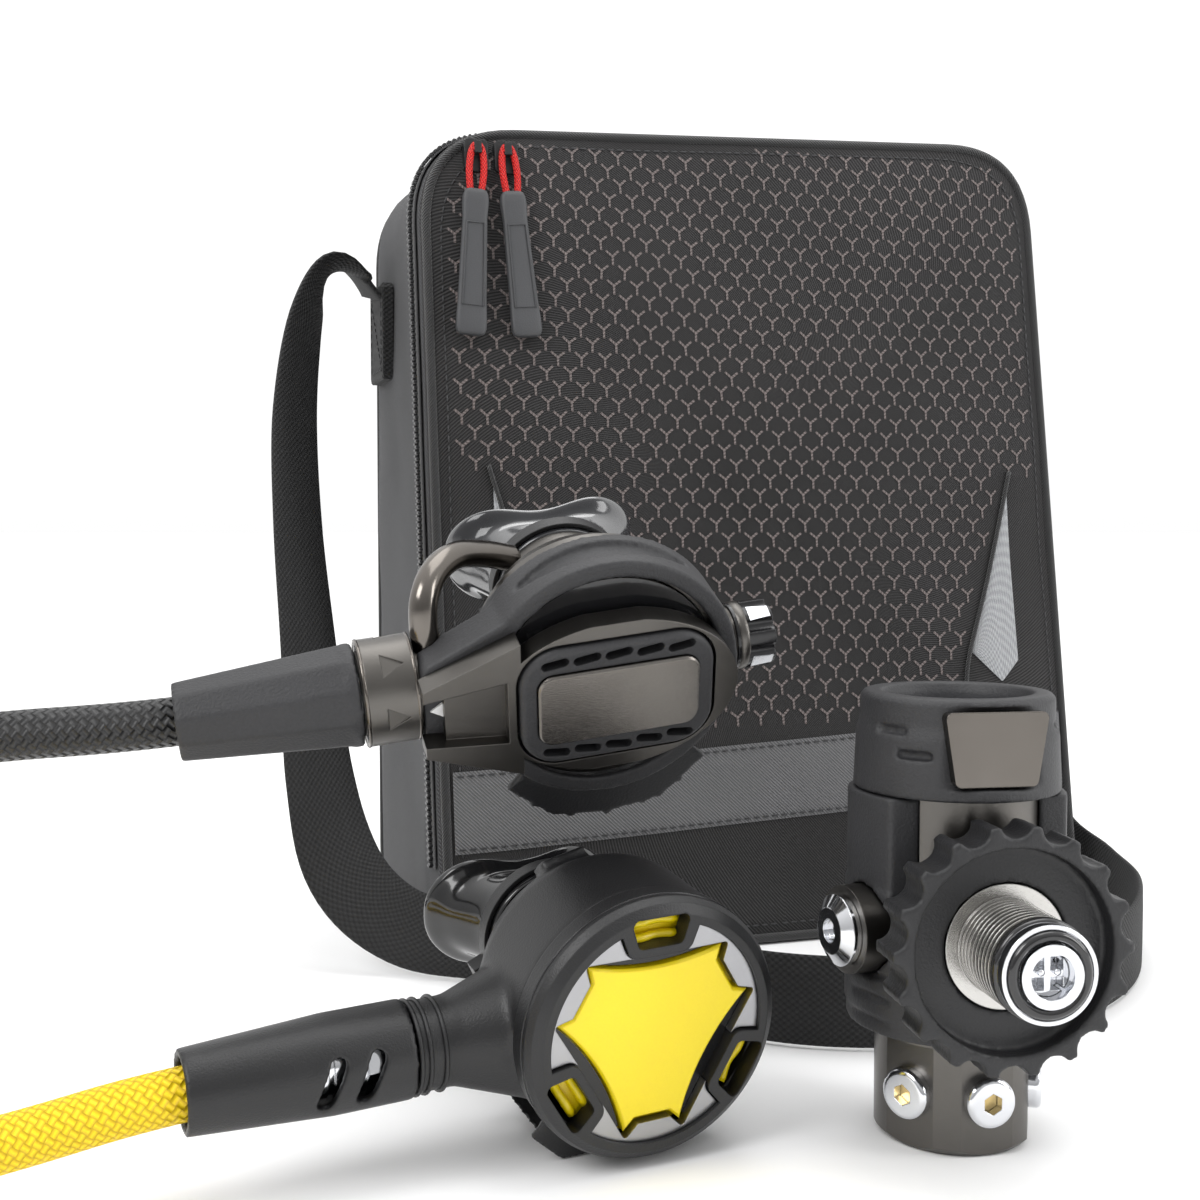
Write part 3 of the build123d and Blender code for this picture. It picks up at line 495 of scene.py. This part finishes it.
def bow(count, a, b, z, power=2.3, dip=0.0, wrap=0.0):
    """An oval ring whose middle dips in and whose ends turn back."""
    ring = []
    for j in range(count):
        t = 2 * pi * j / count
        x = a * abs(cos(t)) ** (2 / power) * (1 if cos(t) >= 0 else -1)
        y = b * abs(sin(t)) ** (2 / power) * (1 if sin(t) >= 0 else -1)
        y *= 1 - dip * cos(pi * x / a / 2) ** 4
        ring.append((x, y, z - wrap * (x / a) ** 2))
    return ring


def mouthpiece(side, at, finish):
    n = 64
    rings = [bow(n, 17.0, 17.0, -57.5, 2), bow(n, 17.9, 17.9, -58.2, 2), bow(n, 18.0, 17.8, -62.8, 2),
             bow(n, 17.2, 16.6, -63.6, 2), bow(n, 17.6, 15.8, -66.5, 2.1), bow(n, 19.8, 14.2, -70.0, 2.2, 0.05),
             bow(n, 22.6, 13.4, -73.0, 2.3, 0.12, 1), bow(n, 24.6, 13.6, -75.4, 2.4, 0.16, 2),
             bow(n, 27.0, 16.6, -77.0, 2.3, 0.22, 3.5), bow(n, 28.0, 18.0, -78.2, 2.3, 0.24, 4.5),
             bow(n, 27.6, 17.8, -79.4, 2.3, 0.24, 4.8), bow(n, 24.0, 13.4, -79.0, 2.3, 0.2, 3.6),
             bow(n, 19.0, 9.4, -78.6, 2.4, 0.1, 2.4), bow(n, 14.0, 6.6, -78.4, 2.4, 0, 1),
             bow(n, 12.4, 5.4, -76.0, 2.4), bow(n, 11.8, 6.6, -68.0, 2.2), bow(n, 12.3, 12.3, -62.6, 2)]
    body = f"{side}_stage"
    made = loft(f"{side}_mouthpiece_shell", rings, body, finish, caps=False, at=at)
    made.modifiers.new("smooth", "SUBSURF").levels = 1
    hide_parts(f"{side}_mouthpiece")
    for end in (-1, 1):
        tab = []
        for z, w, h in ((-78, 3.2, 6.2), (-80.5, 3.0, 6.0), (-83.5, 2.6, 5.8), (-85.2, 5.0, 6.2), (-86.8, 5.2, 6.2),
                        (-87.6, 4.2, 5.4)):
            tab.append([(end * 17.5 + p[0], p[1], p[2]) for p in bow(24, w, h, z, 3.2)])
        loft(f"{side}_bite_{'left' if end < 0 else 'right'}", tab, body, finish, at=at)
    return made


mouthpiece("primary", PRIMARY, SMOKE)
mouthpiece("octopus", OCTOPUS, SILICONE)

# ---- bag

BAG_W, BAG_H, DEEP, LEAN, LID, BAG_WALL = 250.0, 306.0, 140.0, 45.0, 6.0, 5.5


def outline(inset, count=220):
    """Points (x, z) round the bag's face, evenly spaced, from the middle of its bottom leftwards."""
    half, low, high = BAG_W / 2 - inset, inset, BAG_H - inset
    corners = [(half, low, 13), (half, high - 1, 34), (-half, high - 13, 34), (-half, low, 13)]
    path = [Vector((0, low))]
    for k, (x, z, r) in enumerate(corners):
        here = Vector((x, z))
        before = Vector(corners[k - 1][:2]) if k else Vector((0, low))
        after = Vector(corners[(k + 1) % 4][:2]) if k < 3 else Vector((0, low))
        a, b = here + (before - here).normalized() * r, here + (after - here).normalized() * r
        for s in range(13):
            t = s / 12
            path.append(a * (1 - t) ** 2 + here * 2 * t * (1 - t) + b * t * t)
    path.append(Vector((0, low)))
    lengths = [0.0]
    for a, b in zip(path, path[1:]):
        lengths.append(lengths[-1] + (b - a).length)
    points = []
    at = 0
    for j in range(count):
        want = lengths[-1] * j / count
        while lengths[at + 1] < want:
            at += 1
        t = (want - lengths[at]) / (lengths[at + 1] - lengths[at])
        points.append(path[at].lerp(path[at + 1], t))
    return points


def lean(z):
    return LEAN * z / BAG_H


def slack(x, y, z, scale, amount):
    return amount * noise.noise(Vector((x, y, z)) * scale)


def shell_ring(t, inset):
    ring = []
    for p in outline(inset):
        front = lean(p.y) + LID + 0.5
        y = front + (DEEP - front) * t
        give = slack(p.x, y, p.y, 0.022, 2.2) * min(1, 8 * t, 8 * (1 - t))
        out = Vector((p.x, p.y - BAG_H / 2)).normalized()
        grounded = 0 if p.y < 6 else 1
        ring.append((p.x + out.x * give * grounded, y, p.y + out.y * give * grounded))
    return ring


# Each ring is (share of the depth from front to back, inset). The loft starts at the inner face of the back
# panel and comes forward to the rim, so the bag is open behind its lid; then it goes back along the outside.
depths = [(t, BAG_WALL) for t in (0.95, 0.75, 0.5, 0.25, 0.06)] + [(0.0, 5.0)]
depths += [(0.0, 4.0), (0.0, 1.6), (0.015, 0.6), (0.05, 0.5), (0.1, 0.3), (0.13, 0.9), (0.16, 0.2)]
depths += [(0.16 + 0.72 * k / 12, 0.2 + 1.6 * sin(pi * k / 12)) for k in range(1, 12)]
depths += [(0.9, 0.2), (0.95, 0.4), (0.98, 1.6), (1.0, 4.0)]
rings = [shell_ring(t, inset) for t, inset in depths]
rim = rings[-1]
for k in range(1, 16):
    f = 1 - k / 16
    rings.append([(x * f, y + 2.2 * (1 - f * f) + slack(x * f, 9, z * f, 0.02, 1.5),
                   BAG_H / 2 + (z - BAG_H / 2) * f) for x, y, z in rim])
shell = loft("bag_soft_shell", rings, "bag", BAG_SIDE, at=BAG)
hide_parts("bag_shell")


def lid_point(x, z, off=0.0):
    """A point on the lid's puffed front, off millimetres above the cloth."""
    edge = min(1, max(0, 1 - max(abs(x) / 123, abs(z - BAG_H / 2) / 151)))
    puff = 3.4 * (1 - (1 - min(1, edge * 3.2)) ** 2)
    return (x, lean(z) - puff - off + slack(x, 3, z, 0.018, 1.5), z)


lid_rings = []
for inset, back in ((4.0, 5.9), (1.4, 5.8), (0.6, 4.4), (0.4, 3.0), (0.9, 1.2), (2.6, 0.1)):
    lid_rings.append([(p.x, lean(p.y) + back, p.y) for p in outline(inset)])
rim = outline(2.6)
for k in range(1, 26):
    f = 1 - k / 26
    lid_rings.append([lid_point(p.x * f, BAG_H / 2 + (p.y - BAG_H / 2) * f) for p in rim])
lid = loft("bag_soft_lid", lid_rings, "lid", BAG_FRONT, at=BAG)
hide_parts("bag_lid")


def inside(x, z, margin):
    return abs(x) < 119 - margin and 20 < z and z < 297 - margin and hypot(
        max(0, abs(x) - 88), max(0, z - (276 if x > 0 else 262))) < 31 - margin


# The printed lattice: staggered three-armed marks above the band.
verts, faces, corners = [], [], []
PITCH_X, PITCH_Z, ARM, THICK = 8.9, 5.4, 3.3, 0.43
for row in range(48):
    for column in range(-15, 16):
        x = (column + 0.5 * (row % 2)) * PITCH_X - 2
        z = 76 + row * PITCH_Z
        hidden = abs(x) > 103 - max(0, 167 - z) * 0.33 - 4 and z < 169
        if not inside(x, z, 4) or z < 78 + 0.05 * x or hidden:
            continue
        for arm in (40, 140, 270):
            a = radians(arm + 8 * noise.noise(Vector((x, z, arm))))
            along, side = Vector((cos(a), sin(a))), Vector((-sin(a), cos(a)))
            base = len(verts)
            for d, w in ((0, -THICK), (ARM, -THICK), (ARM, THICK), (0, THICK)):
                q = Vector((x, z)) + along * d + side * w
                verts.append((BAG @ Vector(lid_point(q.x, q.y, 0.22))) * MM)
            faces.append((base, base + 1, base + 2, base + 3))
            corners.append(((0, 0), (ARM * MM, 0), (ARM * MM, THICK * MM), (0, THICK * MM)))
piece("lid_lattice_print", verts, faces, "lid", LATTICE, corners, False)


def patch(name, low, high, left, right, finish, off, columns=60, rows=8):
    """A flat piece sewn on the lid: low and high give its edges' heights at x, left and right its ends."""
    grid = []
    for i in range(rows + 1):
        line = []
        for j in range(columns + 1):
            x = left + (right - left) * j / columns
            z = low(x) + (high(x) - low(x)) * i / rows
            edge = 0.3 if i in (0, rows) or j in (0, columns) else 0
            line.append(lid_point(x, z, off - edge))
        grid.append(line)
    return loft(name, grid, "lid", finish, caps=False, at=BAG, closed=False)


patch("lid_band", lambda x: 44.6 + 0.05 * x, lambda x: 72.4 + 0.05 * x, -120.5, 120.5, BAND, 0.7)
for side in (-1, 1):
    patch(f"lid_reflector_{'left' if side < 0 else 'right'}",
          lambda x: 91 + (abs(x) - 95) * (-0.92 if abs(x) < 95 else 1.0),
          lambda x: 103 + (abs(x) - 82) * 3.05, side * 82.2, side * 103, REFLECT, 0.8, 30, 12)


for side in (-1, 1):
    seam = [lid_point(side * x, z, 0.9) for x, z in ((104.5, 172), (98, 150), (90, 126), (81, 101), (79, 88), (79, 76))]
    tube(f"lid_seam_{'left' if side < 0 else 'right'}", smooth_line(seam, 6), 0.8, "lid", PIPING, 10, at=BAG)


def rim_line(inset, back, low=None, count=440):
    """A line round the lid's edge, or only above a height."""
    points = [(p.x, lean(p.y) + back, p.y) for p in outline(inset, count)]
    if low is None:
        return points + points[:1]
    kept = [p for p in points if p[2] > low]
    return kept


tube("lid_piping", rim_line(2.0, 0.4), 1.7, "lid", PIPING, 12, at=BAG, up=(0, 1, 0), caps=False)
tube("bag_back_piping", [(p[0], DEEP - 2.0, p[2]) for p in rim_line(1.6, 0)], 1.5, "bag", PIPING, 10, at=BAG,
     up=(0, 1, 0), caps=False)


def side_strip(name, inset, front, back, low, body, finish):
    """A flat strip on the gusset, following the bag's outline."""
    grid = []
    for y, lift in ((front, 0.4), (front, 0.0), (back, 0.0), (back, 0.4)):
        grid.append([(p[0], p[1] + y, p[2]) for p in rim_line(inset + lift, LID + 0.5, low, 300)])
    return loft(name, grid, body, finish, caps=False, at=BAG, closed=False)


side_strip("zip_tape_front", -0.6, 3.0, 8.6, 30, "bag", ZIP_TAPE)
side_strip("zip_tape_back", -0.6, 9.4, 15.0, 30, "bag", ZIP_TAPE)
verts, faces = [], []
line = rim_line(-1.2, LID + 0.5, 30, 1000)
centres = [Vector(p) for p in line]
for k in range(1, len(centres) - 1):
    along = (centres[k + 1] - centres[k - 1]).normalized() * 0.34
    out = along.cross(Vector((0, 1, 0))).normalized() * 0.7
    middle = centres[k] + Vector((0, 9.0 + (1.0 if k % 2 else -1.0), 0))
    base = len(verts)
    for a in (-1, 1):
        for b in (-1, 1):
            for c in (-1.6, 1.6):
                verts.append((BAG @ (middle + along * a + out * b + Vector((0, c, 0)))) * MM)
    faces += [tuple(base + i for i in f) for f in
              ((0, 1, 3, 2), (4, 6, 7, 5), (0, 4, 5, 1), (2, 3, 7, 6), (0, 2, 6, 4), (1, 5, 7, 3))]
piece("zip_chain", verts, faces, "bag", TEETH, smooth=False)



def stitches(name, points, body, finish, at, size=(1.25, 0.28, 0.22), every=3.6):
    """Short raised threads laid end to end along a line of points in millimetres."""
    points = [Vector(p) for p in points]
    verts, faces = [], []
    spare = 0.0
    for a, b in zip(points, points[1:]):
        length = (b - a).length
        if length < 1e-6:
            continue
        along = (b - a) / length
        side = along.cross(Vector((0.05, 1, 0.02))).normalized()
        out = side.cross(along)
        while spare < length:
            middle = a + along * spare
            base = len(verts)
            for d, lift in ((-1, 0.25), (-0.6, 1), (0.6, 1), (1, 0.25)):
                for w, t in ((-1, -1), (1, -1), (1, 1), (-1, 1)):
                    verts.append((at @ (middle + along * d * size[0] + side * w * size[1] * lift
                                        + out * t * size[2] * lift)) * MM)
            for k in range(3):
                for j in range(4):
                    n = (j + 1) % 4
                    faces.append((base + 4 * k + j, base + 4 * k + n, base + 4 * k + 4 + n, base + 4 * k + 4 + j))
            faces += [(base + 3, base + 2, base + 1, base), (base + 12, base + 13, base + 14, base + 15)]
            spare += every
        spare -= length
    return piece(name, verts, faces, body, finish)


stitches("lid_edge_stitches", [lid_point(p.x, p.y, 0.15) for p in outline(7, 300)], "lid", THREAD, BAG)
stitches("band_top_stitches", [lid_point(x, 70.9 + 0.05 * x, 0.85) for x in range(-118, 119, 4)], "lid", THREAD, BAG)
stitches("band_low_stitches", [lid_point(x, 46.2 + 0.05 * x, 0.85) for x in range(-118, 119, 4)], "lid", THREAD, BAG)
for end in (-1, 1):
    side = "left" if end < 0 else "right"
    y = 117.7 if end < 0 else 112.6
    pad = []
    for x, w, h in ((124.0, 15.5, 19), (127.6, 15.5, 19), (128.2, 15, 18.4)):
        pad.append([(end * x, y + w * cx, 228 + h * cz) for cx, cz in
                    ((-1, -0.9), (-0.9, -1), (0.9, -1), (1, -0.9), (1, 0.9), (0.9, 1), (-0.9, 1), (-1, 0.9))])
    loft(f"strap_anchor_{side}", pad, "bag", WEBBING, at=BAG, smooth=False)
    square = [(end * 128.3, y + w, 228 + h)
              for w, h in ((-12, -15), (12, -15), (12, 15), (-12, 15), (-12, -15), (12, 15))]
    stitches(f"strap_anchor_stitches_{side}", square, "bag", THREAD, BAG)

# Pulls: a moulded tab on a loop of red cord.
lean_angle = atan2(LEAN, BAG_H)
for side, x, turn in (("left", -105, 4), ("right", -94, -4)):
    at = BAG @ Matrix.Translation((x, LEAN * 282 / BAG_H, 282)) @ Matrix.Rotation(-lean_angle, 4, "X")
    at = at @ Matrix.Translation((0, -6.4, 2)) @ Matrix.Rotation(radians(turn), 4, "Y")
    tab = []
    for z, w, d in ((-15.4, 2.6, 1.3), (-16, 3.8, 1.9), (-17.5, 4.5, 2.2), (-20, 4.7, 2.3), (-26, 4.4, 1.7),
                    (-56, 5.1, 1.7), (-62, 5.4, 1.9), (-66, 5.4, 1.9), (-67.6, 4.8, 1.5), (-68.2, 3.6, 1.0)):
        tab.append(bow(32, w, d, z, 4.5))
    made = loft(f"pull_tab_{side}", tab, f"pull_{side}", PULL, at=at)
    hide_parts(f"zip_pull_{side}")
    cord = [(-1.6, 0, -19), (-2.6, -0.2, -10), (-2.3, 0, -3), (-1.2, 0, 0.4), (0, 0, 1.2), (1.2, 0, 0.4),
            (2.3, 0, -3), (2.6, -0.2, -10), (1.6, 0, -19)]
    tube(f"pull_cord_{side}", smooth_line(cord, 6), 1.25, f"pull_{side}", RED_CORD, 12, True, at, (0, 1, 0))
    frame_line = [(-3.2, -1.8, -28), (3.2, -1.8, -28), (3.9, -1.8, -58), (-3.9, -1.8, -58), (-3.2, -1.8, -28)]
    tube(f"pull_rib_{side}", frame_line, 0.35, f"pull_{side}", PULL, 8, False, at, (0, 1, 0), False)

STRAP_LINE = [
    ((-91.5, 611, 243), (-0.3, 0.95, 0)), ((-99, 604, 252), (-0.2, 0.95, 0.1)),
    ((-107, 590, 248), (0.1, 0.9, 0.3)), ((-112, 574, 225), (0.2, 0.85, 0.45)),
    ((-113, 559, 190), (0.3, 0.9, 0.35)), ((-109, 543, 150), (0.35, 0.9, 0.3)),
    ((-102, 526, 105), (0.45, 0.85, 0.3)), ((-96, 511, 65), (0.5, 0.7, 0.5)),
    ((-86, 502, 34), (0.35, 0.35, 0.85)), ((-66, 496, 17), (0.05, 0.1, 1)),
    ((-38, 489, 13.8), (0, 0, 1)), ((-8, 476, 13.8), (0, 0, 1)), ((20, 453, 13.8), (0, 0, 1)),
    ((47, 432, 13.8), (0, 0, 1)), ((76, 425, 13.8), (0, 0, 1)), ((108, 429, 13.8), (0, 0, 1)),
    ((142, 447, 13.8), (0, 0, 1)), ((172, 481, 13.8), (0, 0, 1)), ((191, 527, 13.8), (0, 0, 1)),
    ((197, 575, 13.8), (0, 0, 1)), ((188, 622, 24), (0.2, 0.15, 1)), ((176, 660, 70), (0.3, 0.9, 0.35)),
    ((166, 684, 140), (0, 0.95, 0.1)), ((161, 690, 205), (-0.3, 0.95, 0)), ((157, 684, 246), (-0.3, 0.95, 0)),
]
path = smooth_line([p for p, _ in STRAP_LINE], 8)
wides = smooth_line([a for _, a in STRAP_LINE], 8)
rings, vs = [], [0.0]
for k, (point, wide) in enumerate(zip(path, wides)):
    along = (path[min(k + 1, len(path) - 1)] - path[max(k - 1, 0)]).normalized()
    wide = (wide - along * wide.dot(along)).normalized()
    thick = along.cross(wide)
    ring = []
    for w, t in ((-13.2, -0.3), (-12.6, -0.9), (-6, -1.0), (0, -1.0), (6, -1.0), (12.6, -0.9), (13.2, -0.3),
                 (13.2, 0.3), (12.6, 0.9), (6, 1.0), (0, 1.0), (-6, 1.0), (-12.6, 0.9), (-13.2, 0.3)):
        ring.append(point + wide * w + thick * t)
    rings.append(ring)
    if k:
        vs.append(vs[-1] + (point - path[k - 1]).length * MM)
strap = loft("strap_webbing", rings, "bag", WEBBING, vs=vs, at=FLOOR)
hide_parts("shoulder_strap")

# ---- small details


def plate(name, points, low, high, at, body, finish):
    """A thin prism: points (x, y) in the item's frame, from low to high."""
    count = len(points)
    verts = [(at @ Vector((x, y, z))) * MM for z in (low, high) for x, y in points]
    faces = [tuple(range(count))[::-1], tuple(range(count, 2 * count))]
    faces += [(j, (j + 1) % count, count + (j + 1) % count, count + j) for j in range(count)]
    return piece(name, verts, faces, body, finish, smooth=False)


bypass = tube("bypass_smooth", smooth_line([(-43.4, 9.5, -21), (-43.8, 16, -22.5), (-42.5, 22, -26), (-38.5, 25, -32.5),
                                            (-32, 24.4, -40), (-24, 20, -47), (-15, 14.2, -53)], 8),
              3.6, "primary_stage", BRONZE, 28, at=PRIMARY)
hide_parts("primary_bypass_tube")
plate("selector_mark", [(-45.6, 0), (-41.8, 2.4), (-41.8, -2.4)], -9.4, -8.4, PRIMARY, "primary_stage", WHITE)
for k in range(5):
    at = STAGE @ Matrix.Translation((0, 0, 13.5)) @ Matrix.Rotation(radians((-56, 4, 64, 124, 184)[k] - 90), 4, "Z")
    at = at @ Matrix.Rotation(radians(90), 4, "Y")
    hexagon = [(2.55 * cos(radians(60 * j)), 2.55 * sin(radians(60 * j))) for j in range(6)]
    plate(f"plug_socket_{k}", hexagon, 18.4, 18.8, at, "turret", BRASS)


def band(name, at, radius, section, start, body, finish):
    """A thin round band about an axis along x."""
    ring = [(start, radius * cos(2 * pi * j / 48), radius * sin(2 * pi * j / 48)) for j in range(49)]
    return tube(name, ring, section, body, finish, 12, at=at, up=(1, 0, 0), caps=False)


axis_frame = PRIMARY @ Matrix.Translation((0, *PRIMARY_AXIS))
loft("knob_neck", [[(x, r * cos(2 * pi * j / 40), r * sin(2 * pi * j / 40)) for j in range(40)]
                   for x, r in ((31.4, 7.3), (32.2, 7.9), (35.6, 7.9), (36.3, 8.9), (38.2, 9.1), (38.8, 8.7))],
     "primary_knob", GUNMETAL, at=axis_frame, caps=False)
for k in range(4):
    flat = axis_frame @ Matrix.Rotation(radians(22.5 + 90 * k), 4, "X")
    plate(f"knob_flat_{k}", [(39.5, -2.2), (45.2, -1.6), (45.2, 1.6), (39.5, 2.2)], 8.75, 8.95, flat,
          "primary_knob", CHROME)

din = DIN
band("inlet_o_ring", din, 10.6, 1.0, 49.2, "first_stage", SILICONE)
for k in range(2):
    tube(f"inlet_pin_{k}", [(51.4, 1.9 - 3.8 * k, 0.6), (52.6, 1.9 - 3.8 * k, 0.6), (52.8, 1.9 - 3.8 * k, 0.6)],
         [0.8, 0.8, 0.3], "inlet_valve", CHROME, 16, at=din)
octo_face = OCTOPUS
octo_axis = OCTOPUS @ Matrix.Translation((0, *OCTOPUS_AXIS))
for k, x in enumerate((-52.4, -50.2, -46.5)):
    band(f"octopus_collar_{k}", octo_axis, 10.7, 0.55, x, "octopus_stage", BLACK)
for k, x in enumerate((-60.4, -48.0)):
    band(f"selector_edge_{k}", axis_frame, 13.1, 0.5, x, "primary_selector", BRONZE)
for k in range(3):
    for n in (-1, 1):
        a = radians(90 + 120 * k)
        centre = Vector((cos(a), sin(a)))
        side = Vector((-sin(a), cos(a)))
        pts = []
        for s in range(9):
            q = centre * (24.2 + 1.9 * n) + side * (-6 + 1.5 * s)
            pts.append((q.x, q.y, -1.4 + 0.5 * cos(s)))
        tube(f"yellow_rib_{k}_{'a' if n < 0 else 'b'}", pts, 1.1, "octopus_purge", YELLOW, 10, at=octo_face)
for k in range(3):
    side_at = octo_face @ Matrix.Rotation(radians(90 + 120 * k), 4, "Z")
    inner = [(75.43 - (58.93 ** 2 - y * y) ** 0.5, y, 0.1) for y in range(-16, 17)]
    loft(f"star_recess_{k}", [inner, [(20.4, y, 0.1) for _, y, _ in inner]], "octopus_stage", GLOSS_BLACK,
         caps=False, at=side_at, closed=False)
seam = [(32.35 * cos(2 * pi * j / 90), 32.35 * sin(2 * pi * j / 90), -1.2) for j in range(91)]
tube("octopus_seam", seam, 0.3, "octopus_stage", GLOSS_BLACK, 8, at=octo_face, caps=False)

# ---- floor, light and camera, in metres
FLOOR_REACH = 40
FLOOR_LEVEL = -0.0004
floor_material, tree, shader = shader_of("pale floor")
finish_with(tree, shader, mix(tree, blur(tree, 3, 2), (0.93, 0.93, 0.93), (0.96, 0.96, 0.96)), 0.7)
floor_mesh = bpy.data.meshes.new("floor")
floor_corners = [(x * FLOOR_REACH, y * FLOOR_REACH, FLOOR_LEVEL) for x, y in ((-1, -1), (1, -1), (1, 1), (-1, 1))]
floor_mesh.from_pydata(floor_corners, [], [(0, 1, 2, 3)])
floor_mesh.materials.append(floor_material)
floor = bpy.data.objects.new("floor", floor_mesh)
bpy.context.scene.collection.objects.link(floor)

world = bpy.data.worlds.new("studio")
bpy.context.scene.world = world
world.use_nodes = True
sky = world.node_tree
direction = add(sky, "SeparateXYZ")
sky.links.new(add(sky, "TexCoord").outputs["Generated"], direction.inputs[0])
facing = add(sky, "MapRange")
facing.inputs["From Min"].default_value = -0.75
facing.inputs["From Max"].default_value = 0.35
facing.inputs["To Min"].default_value = 0.4
facing.inputs["To Max"].default_value = 1.0
sky.links.new(direction.outputs[1], facing.inputs["Value"])
overhead = calc(sky, "MULTIPLY", calc(sky, "MAXIMUM", direction.outputs[2], 0.0), 0.62)
sky.links.new(calc(sky, "ADD", facing.outputs[0], overhead), sky.nodes["Background"].inputs["Strength"])
sky.nodes["Background"].inputs["Color"].default_value = (1, 1, 1, 1)


def area(name, location, target, size, power):
    lamp = bpy.data.lights.new(name, "AREA")
    lamp.energy = power
    lamp.shape = "RECTANGLE"
    lamp.size, lamp.size_y = size
    holder = bpy.data.objects.new(name, lamp)
    bpy.context.scene.collection.objects.link(holder)
    holder.location = location
    holder.rotation_euler = (Vector(target) - Vector(location)).to_track_quat("-Z", "Y").to_euler()


area("key", (-0.9, -0.9, 1.1), (0, 0, 0.1), (0.7, 0.7), 11)
area("top", (0.1, 0.1, 1.4), (0, 0, 0.1), (1.2, 0.8), 7)
area("side", (1.3, -0.5, 0.6), (0.05, -0.1, 0.08), (0.35, 0.9), 7)

camera_data = bpy.data.cameras.new("camera")
camera_data.lens = 45
camera_data.sensor_width = 36
camera = bpy.data.objects.new("camera", camera_data)
bpy.context.scene.collection.objects.link(camera)
camera.location = (Vector((0, 0, 150)) - SET) * MM
camera.rotation_euler = (radians(87.25), 0, 0)
bpy.context.scene.camera = camera
bpy.context.scene.view_settings.view_transform = "Standard"
